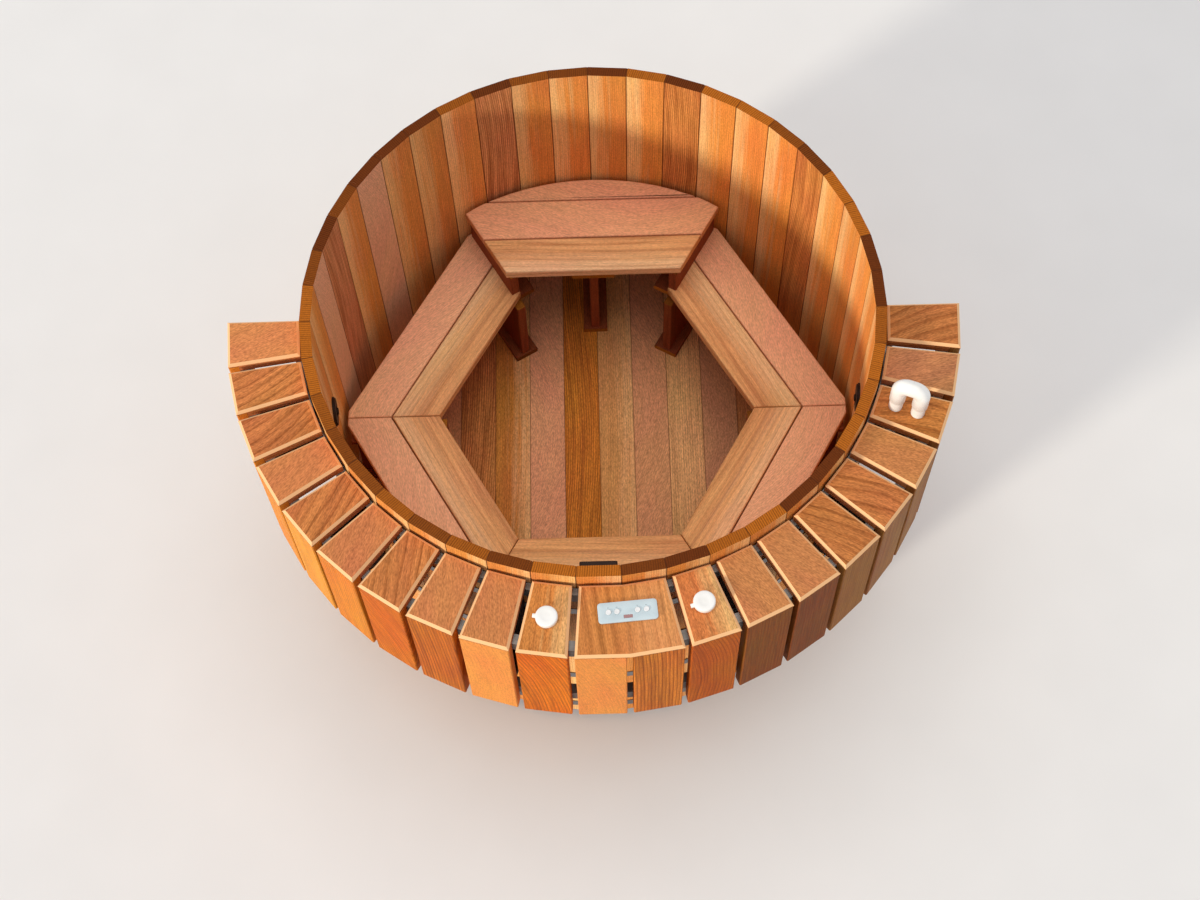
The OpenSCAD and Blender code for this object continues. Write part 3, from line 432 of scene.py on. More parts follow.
    def colour_wood(self) -> Socket:
        """Lays streaks, sapwood and late wood over the board's own colour.

        Returns:
            The colour.
        """
        at, cedar = self.at, self.cedar
        late, sap = linear(cedar.late), linear(cedar.sap)
        streak = self.noise(cedar.streak_width, 0.03, 3.0)
        amount = self.add("MapRange", [streak, 0.42, 0.68, 0.0, cedar.streak])
        amount = self.add("Math MULTIPLY", [amount, at["lines"]])
        colour = self.add("Mix", {0: amount, 6: at["tint"], 7: late}, 2, data_type="RGBA")

        # the sapwood's edge wavers by 30 mm with the streaks
        edge = self.add("MapRange", [streak, 0.3, 0.7, -0.03, 0.03])
        edge = self.add("Math ADD", [edge, at["across"]])
        pale = self.add("MapRange", [edge, -0.012, 0.05, 0.0, 0.85])
        pale = self.add("Math MULTIPLY", [pale, at["sap"]])
        colour = self.add("Mix", {0: pale, 6: colour, 7: sap}, 2, data_type="RGBA")
        strength = self.add("Math MULTIPLY", [at["band"], 0.92])
        colour = self.add("Mix", {0: strength, 6: colour, 7: late}, 2, data_type="RGBA")

        # hair lines, speckle and chance vary its brightness, and slow drifts its hue
        hairs = self.noise(cedar.hair_width, 0.02, 1.0)
        hairs = self.add("MapRange", [hairs, 0.35, 0.65, -0.14, 0.1])
        share = self.add("Math ADD", [at["lines"], 0.5])
        hairs = self.add("Math MULTIPLY_ADD", [hairs, share, 1.0])
        fine = self.add("Math MULTIPLY", [hairs, at["grainy"]])
        low, high = 1 - cedar.jitter, 1 + cedar.jitter
        bright = self.add("MapRange", [at["bright"], 0.0, 1.0, low, high])
        bright = self.add("Math MULTIPLY", [bright, fine])
        hue = self.add("MapRange", [at["drift"], 0.3, 0.7, 0.493, 0.507])
        return self.add("HueSaturation", {"Color": colour, "Value": bright, "Hue": hue})

    def colour_faces(self, colour: Socket) -> Socket:
        """Gives chamfers, ends and joints their own colours.

        Args:
            colour: The colour of the other faces.

        Returns:
            The colour of every face.
        """
        at, cedar = self.at, self.cedar
        # the chamfer's cream is partly the paler wood that it cuts through and partly a painted
        # highlight on faces tilted up to the light
        if cedar.chamfer:
            low = self.add("MapRange", [at["up"], *CHAMFER_STARTS])
            high = self.add("MapRange", [at["up"], *CHAMFER_STOPS, 1.0, 0.0])
            bevel = self.add("Math MULTIPLY", [low, high])
            bevel = self.add("Math MULTIPLY", [bevel, 0.9])
            feeds = {0: bevel, 6: colour, 7: linear(cedar.chamfer)}
            colour = self.add("Mix", feeds, 2, data_type="RGBA")
        pick = self.add("MapRange", [at["brown"], 0.3, 0.7])
        dark, light = (linear(code) for code in cedar.ends)
        cut = self.add("Mix", {0: pick, 6: dark, 7: light}, 2, data_type="RGBA")
        cut = self.add("HueSaturation", {"Color": cut, "Value": at["grainy"]})
        lined = self.add("Math MULTIPLY", [at["band"], 1.2], use_clamp=True)
        cut = self.add("Mix", {0: lined, 6: cut, 7: linear(END_LINES)}, 2, data_type="RGBA")
        colour = self.add("Mix", {0: at["ending"], 6: colour, 7: cut}, 2, data_type="RGBA")
        # darker at each joint: oil gathered there and painted shade in the groove
        if cedar.seam:
            near = self.add("MapRange", [at["joint"], *JOINT_LINE, 0.0, cedar.seam])
            feeds = {0: near, 6: colour, 7: linear(JOINT_DARK)}
            colour = self.add("Mix", feeds, 2, data_type="RGBA")
        return colour


@dataclass(frozen=True)
class Moulding:
    """Moulded or turned plastic, rubber or metal with a faint mottle and a fine surface texture."""

    name: str
    tint: str
    shade: str
    roughness: float
    metallic: float = 0.0
    # sizes in mm. Moulded stipple is finer than 0.3 mm: it is drawn at 1.1 mm so that it shows.
    patch: float = 55.0
    stipple: float = 1.1
    relief: float = 0.1
    brushed: tuple[float, float, float] = (1.0, 1.0, 1.0)
    coat: float = 0.0
    gloss: float = 0.5

    def make(self) -> bpy.types.Material:
        """Builds the finish.

        Returns:
            The material.
        """
        s = Sheet(bpy.data.materials.new(self.name))
        point = s.add("TexCoord", out="Object")
        mottle = s.add("TexNoise", {"Vector": point, "Scale": 1 / (self.patch * MM), "Detail": 3.0})
        mottle = s.add("MapRange", [mottle, 0.35, 0.7])
        shades = {0: mottle, 6: linear(self.tint), 7: linear(self.shade)}
        colour = s.add("Mix", shades, 2, data_type="RGBA")
        lined = s.add("VectorMath MULTIPLY", [point, self.brushed])
        fine = s.add("TexNoise", {"Vector": lined, "Scale": 1 / (self.stipple * MM), "Detail": 2.0})
        low, high = self.roughness - 0.1, self.roughness + 0.1
        rough = s.add("MapRange", [fine, 0.0, 1.0, low, high])
        bump = s.add("Bump", {"Height": fine, "Strength": self.relief, "Distance": 0.2 * MM})
        return s.finish(
            Base_Color=colour, Metallic=self.metallic, Roughness=rough, Normal=bump,
            Coat_Weight=self.coat, Specular_IOR_Level=self.gloss,
        )


def boards(kinds: Iterable[tuple[int, str, Cut]]) -> tuple[Board, ...]:
    """Writes out runs of equal boards.

    Args:
        kinds: Number of boards, colour and cut of each run.

    Returns:
        Every board in order.
    """
    return tuple(Board(tint, cut) for count, tint, cut in kinds for _ in range(count))


STAVE_BOARDS = boards([
    (15, "#e9954a", Cut.SAPPED), (1, "#e0904e", Cut.STRIPED), (3, "#ea9546", Cut.SAPPED),
    (1, "#e09250", Cut.STRIPED), (4, "#e8944a", Cut.SAPPED), (1, "#e09a64", Cut.STRIPED),
    (3, "#e4954e", Cut.SAPPED), (1, "#eab48c", Cut.PLAIN), (1, "#e2964e", Cut.SAPPED),
    (1, "#dc9668", Cut.STRIPED), (1, "#eab48c", Cut.PLAIN), (11, "#e6984e", Cut.SAPPED),
])
FLOOR_BOARDS = boards([
    (3, "#d08c60", Cut.PLAIN), (1, "#d2864c", Cut.STRIPED), (1, "#ca823c", Cut.SAPPED),
    (1, "#de9e74", Cut.PLAIN), (1, "#d68432", Cut.STRIPED), (1, "#d99e60", Cut.SAPPED),
    (1, "#db9c6e", Cut.PLAIN), (1, "#e8b076", Cut.STRAIGHT), (1, "#c88e66", Cut.PLAIN),
    (3, "#c48452", Cut.STRAIGHT),
])
CAP_BOARDS = boards([
    (1, "#d88a54", Cut.PLAIN), (2, "#d3804a", Cut.CATHEDRAL), (1, "#d1834f", Cut.PLAIN),
    (1, "#d08048", Cut.CATHEDRAL), (1, "#ce824f", Cut.PLAIN), (1, "#cf7f49", Cut.CATHEDRAL),
    (2, "#cd824f", Cut.PLAIN), (1, "#d08444", Cut.SAPPED), (2, "#d28744", Cut.SAPPED),
    (1, "#d88248", Cut.SAPPED), (2, "#c98250", Cut.PLAIN), (2, "#cb7e46", Cut.CATHEDRAL),
    (1, "#c8824e", Cut.PLAIN), (1, "#c57a40", Cut.CATHEDRAL), (1, "#c28154", Cut.PLAIN),
    (1, "#c37a44", Cut.CATHEDRAL),
])
SIDE_BOARDS = boards([
    (3, "#e08a30", Cut.PLAIN), (2, "#e49234", Cut.STRAIGHT), (1, "#d98226", Cut.STRAIGHT),
    (1, "#cc6c1e", Cut.CATHEDRAL), (1, "#c2691c", Cut.STRIPED), (1, "#dd8c42", Cut.PLAIN),
    (1, "#da6f14", Cut.CATHEDRAL), (1, "#e08c44", Cut.PLAIN), (1, "#d07a2c", Cut.STRIPED),
    # from here round the right side the boards are darker brown: mostly painted shade, partly their
    # own tone
    (1, "#b96018", Cut.CATHEDRAL), (2, "#824a1c", Cut.STRIPED), (1, "#9c6630", Cut.STRAIGHT),
    (5, "#a06c36", Cut.STRIPED),
])

STAVE_RING = Ring(-math.pi / 2 - STAVE_PITCH / 2, STAVE_PITCH, STAVE_COUNT, 0.895)
CAP_RING = Ring(BOARD_START, BOARD_PITCH, BOARD_COUNT, 1.03)
DOUBLE_RING = Ring(BOARD_START, 2 * BOARD_PITCH, 11, 1.03)
SIDE_RING = Ring(BOARD_START, BOARD_PITCH, BOARD_COUNT, 1.13)
LEG_RING = Ring(-math.radians(15), math.radians(30), 12, 0.7)
INNER_SEATS = Ring(-math.pi, math.pi / 3, 6, 0.542)
OUTER_SEATS = Ring(-math.pi, math.pi / 3, 6, 0.688)
FLOOR_ROWS = Rows(FLOOR_LEFT, PLANK_COVER, 14)
JOIST_ROWS = Rows(-0.75, 0.3, 5, math.pi / 2)
# one row wider than the tub for each part of the raised seat
HIGH_REAR = Rows(-2.7, 4.0, 1, math.pi / 2)
HIGH_FRONT = Rows(-2.5475, 4.0, 1, math.pi / 2)


class Finishes:
    """Every finish of the tub, made once."""

    def __init__(self) -> None:
        """Builds all materials."""
        ends, cream_cut_and_highlight = ("#c07c48", "#d08c54"), "#f2c08c"
        leg = boards([(12, "#8f4a2c", Cut.STRAIGHT)])
        frame_boards = boards([(BOARD_COUNT, "#3a2820", Cut.STRAIGHT)])
        # warm orange heartwood, a pale sapwood streak down each stave, dark end grain on the rim
        self.staves = Cedar(
            "Red cedar staves, planed and oiled", STAVE_RING, Grain.STANDING, STAVE_BOARDS,
            late="#8f4a20", sap="#f6c484", ring=7.0, seam=0.8, jitter=0.07,
            ends=("#6a3210", "#ba681e"), speckle=0.6,
        ).make()
        # planks of very different colour side by side, from pale gold to dark brown
        self.floor = Cedar(
            "Red cedar floor planks, planed", FLOOR_ROWS, Grain.SPOKE, FLOOR_BOARDS,
            late="#84441e", sap="#ecb67c", ring=8.0, seed=11.0, seam=0.6, jitter=0.03,
        ).make()
        # rough and dull, with the saw's straight figure
        self.joists = Cedar(
            "Sawn cedar joists", JOIST_ROWS, Grain.SPOKE, boards([(5, "#a8764e", Cut.STRAIGHT)]),
            seed=5.0, roughness=0.65,
        ).make()
        # pinkish and even, with a sanded speckle and hardly a line
        self.bench_outer = Cedar(
            "Red cedar seat planks, fine-sanded", OUTER_SEATS, Grain.ROUND,
            boards([(6, "#f4b88e", Cut.PLAIN)]), seed=21.0, jitter=0.03, speckle=0.7,
        ).make()
        # golden, with broad pale and brown bands along the plank
        self.bench_inner = Cedar(
            "Red cedar front planks, golden", INNER_SEATS, Grain.ROUND,
            boards([(6, "#eab076", Cut.BANDED)]), late="#b4764a", sap="#fad2a0", ring=14.0,
            seed=27.0, jitter=0.04, speckle=0.5, streak=2.0,
        ).make()
        # pinkish and even, its speckle running across the tub
        self.high_rear = Cedar(
            "Red cedar raised seat, fine-sanded", HIGH_REAR, Grain.SPOKE,
            boards([(1, "#f0b086", Cut.PLAIN)]), seed=33.0, jitter=0.0, speckle=0.7,
        ).make()
        # golden, its bands wider and fewer than on the lower seats
        self.high_front = Cedar(
            "Red cedar raised seat front, golden", HIGH_FRONT, Grain.SPOKE,
            boards([(1, "#eaae78", Cut.BANDED)]), late="#ad6c40", sap="#fad4a6", ring=18.0,
            seed=37.0, jitter=0.0, speckle=0.5, streak=2.2,
        ).make()
        # dark red-brown: painted shade, so that the legs fall back under the pale seats
        self.webs = Cedar(
            "Red cedar leg webs, darkened as painted shade", LEG_RING, Grain.EDGE, leg, late="#5e2814",
            seed=41.0, ring=4.0,
        ).make()
        # the same dark red-brown painted shade, its figure lying along the plate
        self.feet = Cedar(
            "Red cedar foot plates and cleats, darkened as painted shade", LEG_RING, Grain.SPOKE, leg,
            late="#5e2814", seed=45.0, ring=4.0,
        ).make()
        # slanted dark figure on some boards, plain speckle on others, and cream chamfers: partly
        # the paler wood that the chamfer cuts, partly a painted highlight
        self.caps = Cedar(
            "Red cedar cap boards, chamfered", CAP_RING, Grain.SPOKE, CAP_BOARDS,
            late="#84431c", ring=13.0, seed=51.0, chamfer=cream_cut_and_highlight, ends=ends, jitter=0.03,
            streak=0.4,
        ).make()
        # one wide board, so its soft bands run on across the middle
        self.double = Cedar(
            "Red cedar control board, chamfered", DOUBLE_RING, Grain.SPOKE,
            boards([(11, "#d6854a", Cut.BANDED)]), late="#84431c", sap="#e6a266", ring=16.0,
            seed=54.0, chamfer=cream_cut_and_highlight, ends=ends, jitter=0.0, speckle=0.7, streak=1.2,
        ).make()
        # bright orange on the front left; the darker brown round the right side is mostly painted
        # shade
        self.sides = Cedar(
            "Red cedar side boards, oiled", SIDE_RING, Grain.STANDING, SIDE_BOARDS,
            late="#7c3a10", ring=11.0, seed=57.0, ends=("#8e5423", "#a86a34"), bend=1.6,
            jitter=0.04, speckle=0.6,
        ).make()
        # painted shade: dark and matt, so that the gaps between the boards read as shadow
        self.frame_posts = Cedar(
            "Frame posts, dark brown as painted shade", CAP_RING, Grain.STANDING, frame_boards,
            late="#241812", seed=61.0, roughness=0.7,
        ).make()
        # as dark, painted shade too, its grain lying outwards
        self.frame_bearers = Cedar(
            "Frame bearers, dark brown as painted shade", CAP_RING, Grain.SPOKE, frame_boards,
            late="#241812", seed=67.0, roughness=0.7,
        ).make()
        # soft grey bands with upright brush lines that blur what they mirror, their grey darkened
        # as painted shade so that they stay dark in the gaps between the boards
        self.steel = Moulding(
            "Stainless steel, brushed, darkened as painted shade", "#8f9194", "#75777a", metallic=1.0,
            roughness=0.42, brushed=(1.0, 1.0, 12.0),
        ).make()
        # warm grey with blurred drawing lines along the tube, darkened as painted shade in the gaps
        # between the boards
        self.aluminium = Moulding(
            "Mill-finish aluminium tube, darkened as painted shade", "#8e8a86", "#6e6b68", metallic=1.0,
            roughness=0.55, brushed=(0.2, 0.2, 3.0),
        ).make()
        # bright, even white with a soft highlight
        self.white = Moulding("White plastic, moulded", "#f4f3ef", "#eceae4", roughness=0.3).make()
        # pale blue-grey and almost matt
        self.panel = Moulding(
            "Panel plastic, moulded, blue-grey", "#c6d6db", "#bccdd3", roughness=0.42
        ).make()
        # a little greyer than the knobs, with a broad dim highlight
        self.button = Moulding(
            "Button plastic, moulded, white satin", "#eeeeee", "#e2e3e3", roughness=0.4
        ).make()
        # brown-black, dull enough to stay dark at a glancing look
        self.dark = Moulding(
            "Dark brown plastic, moulded", "#35231a", "#2a1b14", roughness=0.55, gloss=0.12
        ).make()
        # black and dry
        self.rubber = Moulding(
            "Gasket rubber, moulded, black", "#1c1b1b", "#262524", roughness=0.7
        ).make()
        # green with a lacquer's dull shine
        self.circuit = Moulding(
            "Circuit board laminate, green", "#2f6b4a", "#275a3e", roughness=0.4
        ).make()
        # dark red under a clear glossy skin
        self.window = Moulding(
            "Acrylic display window, cast, dull red", "#8c3c3c", "#7c3034", roughness=0.16,
            coat=1.0,
        ).make()
        # flat dark grey on the pale panel
        self.ink = Moulding("Printed ink, dark grey", "#4c5458", "#3e4549", roughness=0.5).make()


def dress(material: bpy.types.Material, *names: str) -> None:
    """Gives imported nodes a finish.

    Args:
        material: The finish.
        names: The nodes.
    """
    for name in names:
        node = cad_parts[name]
        if not node.material_slots:
            node.data.materials.append(material)
        for slot in node.material_slots:
            slot.material = material
        LOG.info("dressed %s: %s", name, material.name)


# ---- making of pieces ----


def turned(profile: Sequence[tuple[float, float]], steps: int) -> Shape:
    """Spins a profile about +Z.

    Args:
        profile: Radius and height of each corner, from the axis or a bore, upwards.
        steps: Number of flats round it.

    Returns:
        The closed shape.
    """
    shape = bmesh.new()
    corners = [shape.verts.new((r, 0.0, z)) for r, z in profile]
    edges = [shape.edges.new(pair) for pair in zip(corners, corners[1:])]
    bmesh.ops.spin(
        shape, geom=corners + edges, axis=(0, 0, 1), cent=(0, 0, 0),
        angle=math.tau, steps=steps, use_merge=True,
    )
    bmesh.ops.remove_doubles(shape, verts=shape.verts, dist=1e-6)
    bmesh.ops.recalc_face_normals(shape, faces=shape.faces)
    return shape


def block(size: tuple[float, float, float], low: Vector, ease: float, segments: int = 3) -> Shape:
    """Makes a bar with rounded edges.

    Args:
        size: Its three sizes.
        low: Middle of its underside.
        ease: Radius of the edges.
        segments: Steps in each rounding.

    Returns:
        The shape.
    """
    shape = bmesh.new()
    bmesh.ops.create_cube(shape, size=1.0)
    bmesh.ops.scale(shape, vec=size, verts=shape.verts)
    bmesh.ops.bevel(
        shape, geom=shape.edges[:], offset=ease, segments=segments, profile=0.5,
        affect="EDGES", material=-1,
    )
    bmesh.ops.translate(shape, vec=low + Vector((0, 0, size[2] / 2)), verts=shape.verts)
    return shape


def joined(*shapes: Shape) -> Shape:
    """Puts several shapes in the first one.

    Args:
        shapes: The shapes; all but the first are used up.

    Returns:
        The first shape with all the others in it.
    """
    whole = shapes[0]
    for part in shapes[1:]:
        spare = bpy.data.meshes.new("spare")
        part.to_mesh(spare)
        part.free()
        whole.from_mesh(spare)
        bpy.data.meshes.remove(spare)
    return whole


def placed(
    shape: Shape,
    name: str,
    place: Matrix,
    material: bpy.types.Material,
    body: str,
    nodes: Sequence[str] = (),
    crease: float = 35.0,
) -> bpy.types.Object:
    """Puts a shape in the scene as a piece of the tub.

    Args:
        shape: The shape, in its own frame.
        name: Name of the piece.
        place: Where its frame lies on the tub.
        material: Its finish.
        body: Body that it moves with.
        nodes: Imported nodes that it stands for.
        crease: Angle in degrees over which an edge stays sharp.

    Returns:
        The piece.
    """
    shape.transform(place)
    for face in shape.faces:
        face.smooth = True
    for edge in shape.edges:
        closed = len(edge.link_faces) == 2
        edge.smooth = closed and edge.calc_face_angle(0.0) < math.radians(crease)
    mesh = bpy.data.meshes.new(name)
    shape.to_mesh(mesh)
    shape.free()
    mesh.materials.append(material)
    piece = bpy.data.objects.new(name, mesh)
    bpy.context.scene.collection.objects.link(piece)
    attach(piece, body)
    if nodes:
        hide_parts(*nodes)
    LOG.info("made %s: %d faces", name, len(mesh.polygons))
    return piece


def on_board(k: int, radius: float, height: float) -> Matrix:
    """Finds the frame of a place on the cap boards.

    Args:
        k: Number of the board.
        radius: Distance from the tub's axis.
        height: Height of the place.

    Returns:
        A frame whose +X runs clockwise, +Y outwards and +Z up.
    """
    angle = BOARD_START + (k + 0.5) * BOARD_PITCH
    turn = Matrix.Rotation(angle - math.pi / 2, 4, "Z")
    return turn @ Matrix.Translation((0.0, radius, height))


# ---- sub-assemblies ----


@dataclass
class Wall:
    """Staves, floor, joists and hoops."""

    def build(self, finishes: Finishes) -> None:
        """Dresses the wall's nodes."""
        dress(finishes.staves, "staves", "jet_staves", "skim_stave")
        dress(finishes.floor, "floor_planks", "drain_plank")
        dress(finishes.joists, "joists")
        dress(finishes.steel, "hoop_bands", "hoop_lugs", "hoop_bolts")


@dataclass
class Benches:
    """Two levels of seats and what carries them."""

    def build(self, finishes: Finishes) -> None:
        """Dresses the benches' nodes."""
        dress(finishes.bench_outer, "low_outer_planks")
        dress(finishes.bench_outer, "rear_outer_plank_left", "rear_outer_plank_right")
        dress(finishes.bench_inner, "low_inner_planks")
        dress(finishes.bench_inner, "rear_inner_plank_left", "rear_inner_plank_right")
        dress(finishes.high_front, "high_front_plank")
        dress(finishes.high_rear, "high_middle_plank", "high_back_plank")
        dress(finishes.webs, "leg_webs", "high_end_panels")
        dress(finishes.feet, "leg_feet", "leg_cleats")


@dataclass
class Skirt:
    """Cap boards, side boards, rails and frames."""

    def build(self, finishes: Finishes) -> None:
        """Dresses the skirt's nodes."""
        dress(finishes.caps, "cap_boards", "valve_board_left", "valve_board_right", "pipe_board")
        dress(finishes.double, "control_board")
        dress(finishes.sides, "side_boards")
        dress(finishes.aluminium, "inner_rail", "outer_rail", "lower_rail")
        dress(finishes.frame_posts, "frame_cleats", "frame_posts")
        dress(finishes.frame_bearers, "frame_bearers")
        dress(finishes.steel, "coach_screws")


@dataclass
class ControlPanel:
    """Panel with four push buttons and a display in the double board."""

    joint: int = 11
    radius: float = 1.01082
    shift: float = 0.006
    width: float = 0.174
    depth: float = 0.063
    thick: float = 0.005
    corner: float = 0.010
    face: float = 1.2095
    button_radius: float = 0.008
    button_top: float = 0.0068
    button_xs: tuple[float, ...] = (-0.056, -0.031, 0.029, 0.055)
    button_y: float = 0.001
    display: tuple[float, float] = (0.026, 0.010)
    display_y: float = -0.016
    dash_y: float = 0.0145
    display_gap: float = 0.0004
    button_gap: float = 0.00035
    ease: float = 0.0007

    def spot(self, x: float = 0.0, y: float = 0.0) -> Matrix:
        """Finds a place on the panel.

        Args:
            x: Its distance to the reader's right.
            y: Its distance towards the tub.

        Returns:
            A frame there with the same axes.
        """
        angle = BOARD_START + self.joint * BOARD_PITCH + math.pi / 2
        offset = (self.shift + x, y - self.radius, self.face)
        return Matrix.Rotation(angle, 4, "Z") @ Matrix.Translation(offset)

    def plate(self) -> Shape:
        """Makes the face plate with its holes and eased edges.

        Returns:
            The plate in the panel's frame.
        """
        shape = bmesh.new()
        rim = bmesh.ops.create_grid(shape, x_segments=1, y_segments=1, size=0.5)["verts"]
        bmesh.ops.scale(shape, vec=(self.width, self.depth, 1.0), verts=rim)
        bmesh.ops.bevel(
            shape, geom=rim, offset=self.corner, segments=8, profile=0.5,
            affect="VERTICES", material=-1,
        )
        hole = bmesh.ops.create_grid(shape, x_segments=1, y_segments=1, size=0.5)["verts"]
        wide, high = (size + self.display_gap for size in self.display)
        bmesh.ops.scale(shape, vec=(wide, high, 1.0), verts=hole)
        bmesh.ops.translate(shape, vec=(0.0, self.display_y, 0.0), verts=hole)
        radius = self.button_radius + self.button_gap
        for x in self.button_xs:
            ring = bmesh.ops.create_circle(shape, segments=40, radius=radius)["verts"]
            bmesh.ops.translate(shape, vec=(x, self.button_y, 0.0), verts=ring)
        bmesh.ops.delete(shape, geom=shape.faces[:], context="FACES_ONLY")
        bmesh.ops.triangle_fill(shape, use_beauty=True, use_dissolve=False, edges=shape.edges[:])
        grown = bmesh.ops.extrude_face_region(shape, geom=shape.faces[:])["geom"]
        top = [v for v in grown if isinstance(v, Corner)]
        bmesh.ops.translate(shape, vec=(0.0, 0.0, self.thick), verts=top)
        bmesh.ops.recalc_face_normals(shape, faces=shape.faces)
        upper = [e for e in shape.edges if all(v.co.z > self.thick / 2 for v in e.verts)]
        sharp = [e for e in upper if e.calc_face_angle(0.0) > math.radians(60)]
        bmesh.ops.bevel(
            shape, geom=sharp, offset=self.ease, segments=3, profile=0.5,
            affect="EDGES", material=-1,
        )
        return shape

    def button(self) -> Shape:
        """Makes a push button with a rounded edge, a shallow dish and its flange.

        Returns:
            The button in its own frame.
        """
        r, top, ease = self.button_radius, self.button_top, 1.0 * MM
        brim, step = r + 1.5 * MM, 2.0 * MM
        flange = [(0.0, 0.0), (brim, 0.0), (brim, step), (r, step)]
        angles = [math.radians(15 * i) for i in range(7)]
        arc = [(r - ease * (1 - math.cos(a)), top - ease * (1 - math.sin(a))) for a in angles]
        hollow = ((0.7, 0.15 * MM), (0.35, 0.32 * MM), (0.0, 0.38 * MM))
        dish = [(r * share, top - deep) for share, deep in hollow]
        return turned(flange + arc + dish, 48)

    def dashes(self) -> Shape:
        """Makes the plain dashes printed beside the buttons.

        Returns:
            The dashes in the panel's frame.
        """
        size, ease = (5.0 * MM, 0.9 * MM, 0.12 * MM), 0.04 * MM
        # each is sunk by its rounding, so that it leaves no slit over the panel
        places = [Vector((x, self.dash_y, self.thick - ease)) for x in self.button_xs]
        return joined(*(block(size, place, ease, 1) for place in places))

    def build(self, finishes: Finishes) -> None:
        """Makes the fine panel and dresses what stays."""
        placed(
            self.plate(), "panel_face", self.spot(), finishes.panel, "tub",
            ["panel_plate"], 50.0,
        )
        placed(self.dashes(), "panel_dashes", self.spot(), finishes.ink, "tub")
        for i, x in enumerate(self.button_xs, 1):
            name, spot = f"button_{i}", self.spot(x, self.button_y)
            placed(
                self.button(), f"{name}_cap", spot, finishes.button, name, [name]
            )
        dress(finishes.rubber, "panel_gasket")
        dress(finishes.dark, "panel_housing")
        dress(finishes.circuit, "panel_circuit")
        dress(finishes.window, "panel_display")


@dataclass
class AirValve:
    """Air valve with a turned knob that carries a pointer."""

    side: str
    board: int
    radius: float = 1.03294
    knob_radius: float = 0.033
    knob_height: float = 0.017
    base: float = 1.2124
    reach: float = 0.042

    def knob(self) -> Shape:
        """Makes the domed knob, its pointer with a raised line, and the spindle.

        Returns:
            The knob in its own frame, its pointer along +X.
        """
        r, h = self.knob_radius, self.knob_height
        skirt = [(0.0, 0.0), (r - 1.5 * MM, 0.0), (r - 0.4 * MM, 0.4 * MM), (r, 1.5 * MM)]
        dome = (
            (1.0, 0.42), (0.995, 0.72), (0.98, 0.82), (0.95, 0.9), (0.91, 0.945), (0.86, 0.965),
            (0.5, 0.97), (0.45, 0.955), (0.2, 0.95), (0.0, 0.95),
        )
        cap = turned(skirt + [(r * out, h * up) for out, up in dome], 96)

        root, top = r * 0.6, h * 0.55
        size = (self.reach - root, 12 * MM, top)
        pointer = block(size, Vector(((self.reach + root) / 2, 0, 0)), 2.2 * MM)
        size = (12 * MM, 1.4 * MM, 0.8 * MM)
        line = block(size, Vector((self.reach - 8.5 * MM, 0, top - 0.4 * MM)), 0.3 * MM, 2)

        foot, head, shaft = -22 * MM, 1 * MM, 5 * MM
        eased = [(4.4 * MM, foot), (shaft, -21.4 * MM)]
        spindle = turned([(0.0, foot), *eased, (shaft, head), (0.0, head)], 32)
        return joined(cap, pointer, line, spindle)

    def build(self, finishes: Finishes) -> None:
        """Makes the knob and dresses the valve's body."""
        spot = on_board(self.board, self.radius, self.base)
        name = f"valve_knob_{self.side}"
        body = f"air_knob_{self.side}"
        placed(self.knob(), f"{name}_turned", spot, finishes.white, body, [name])
        dress(finishes.white, f"valve_body_{self.side}")


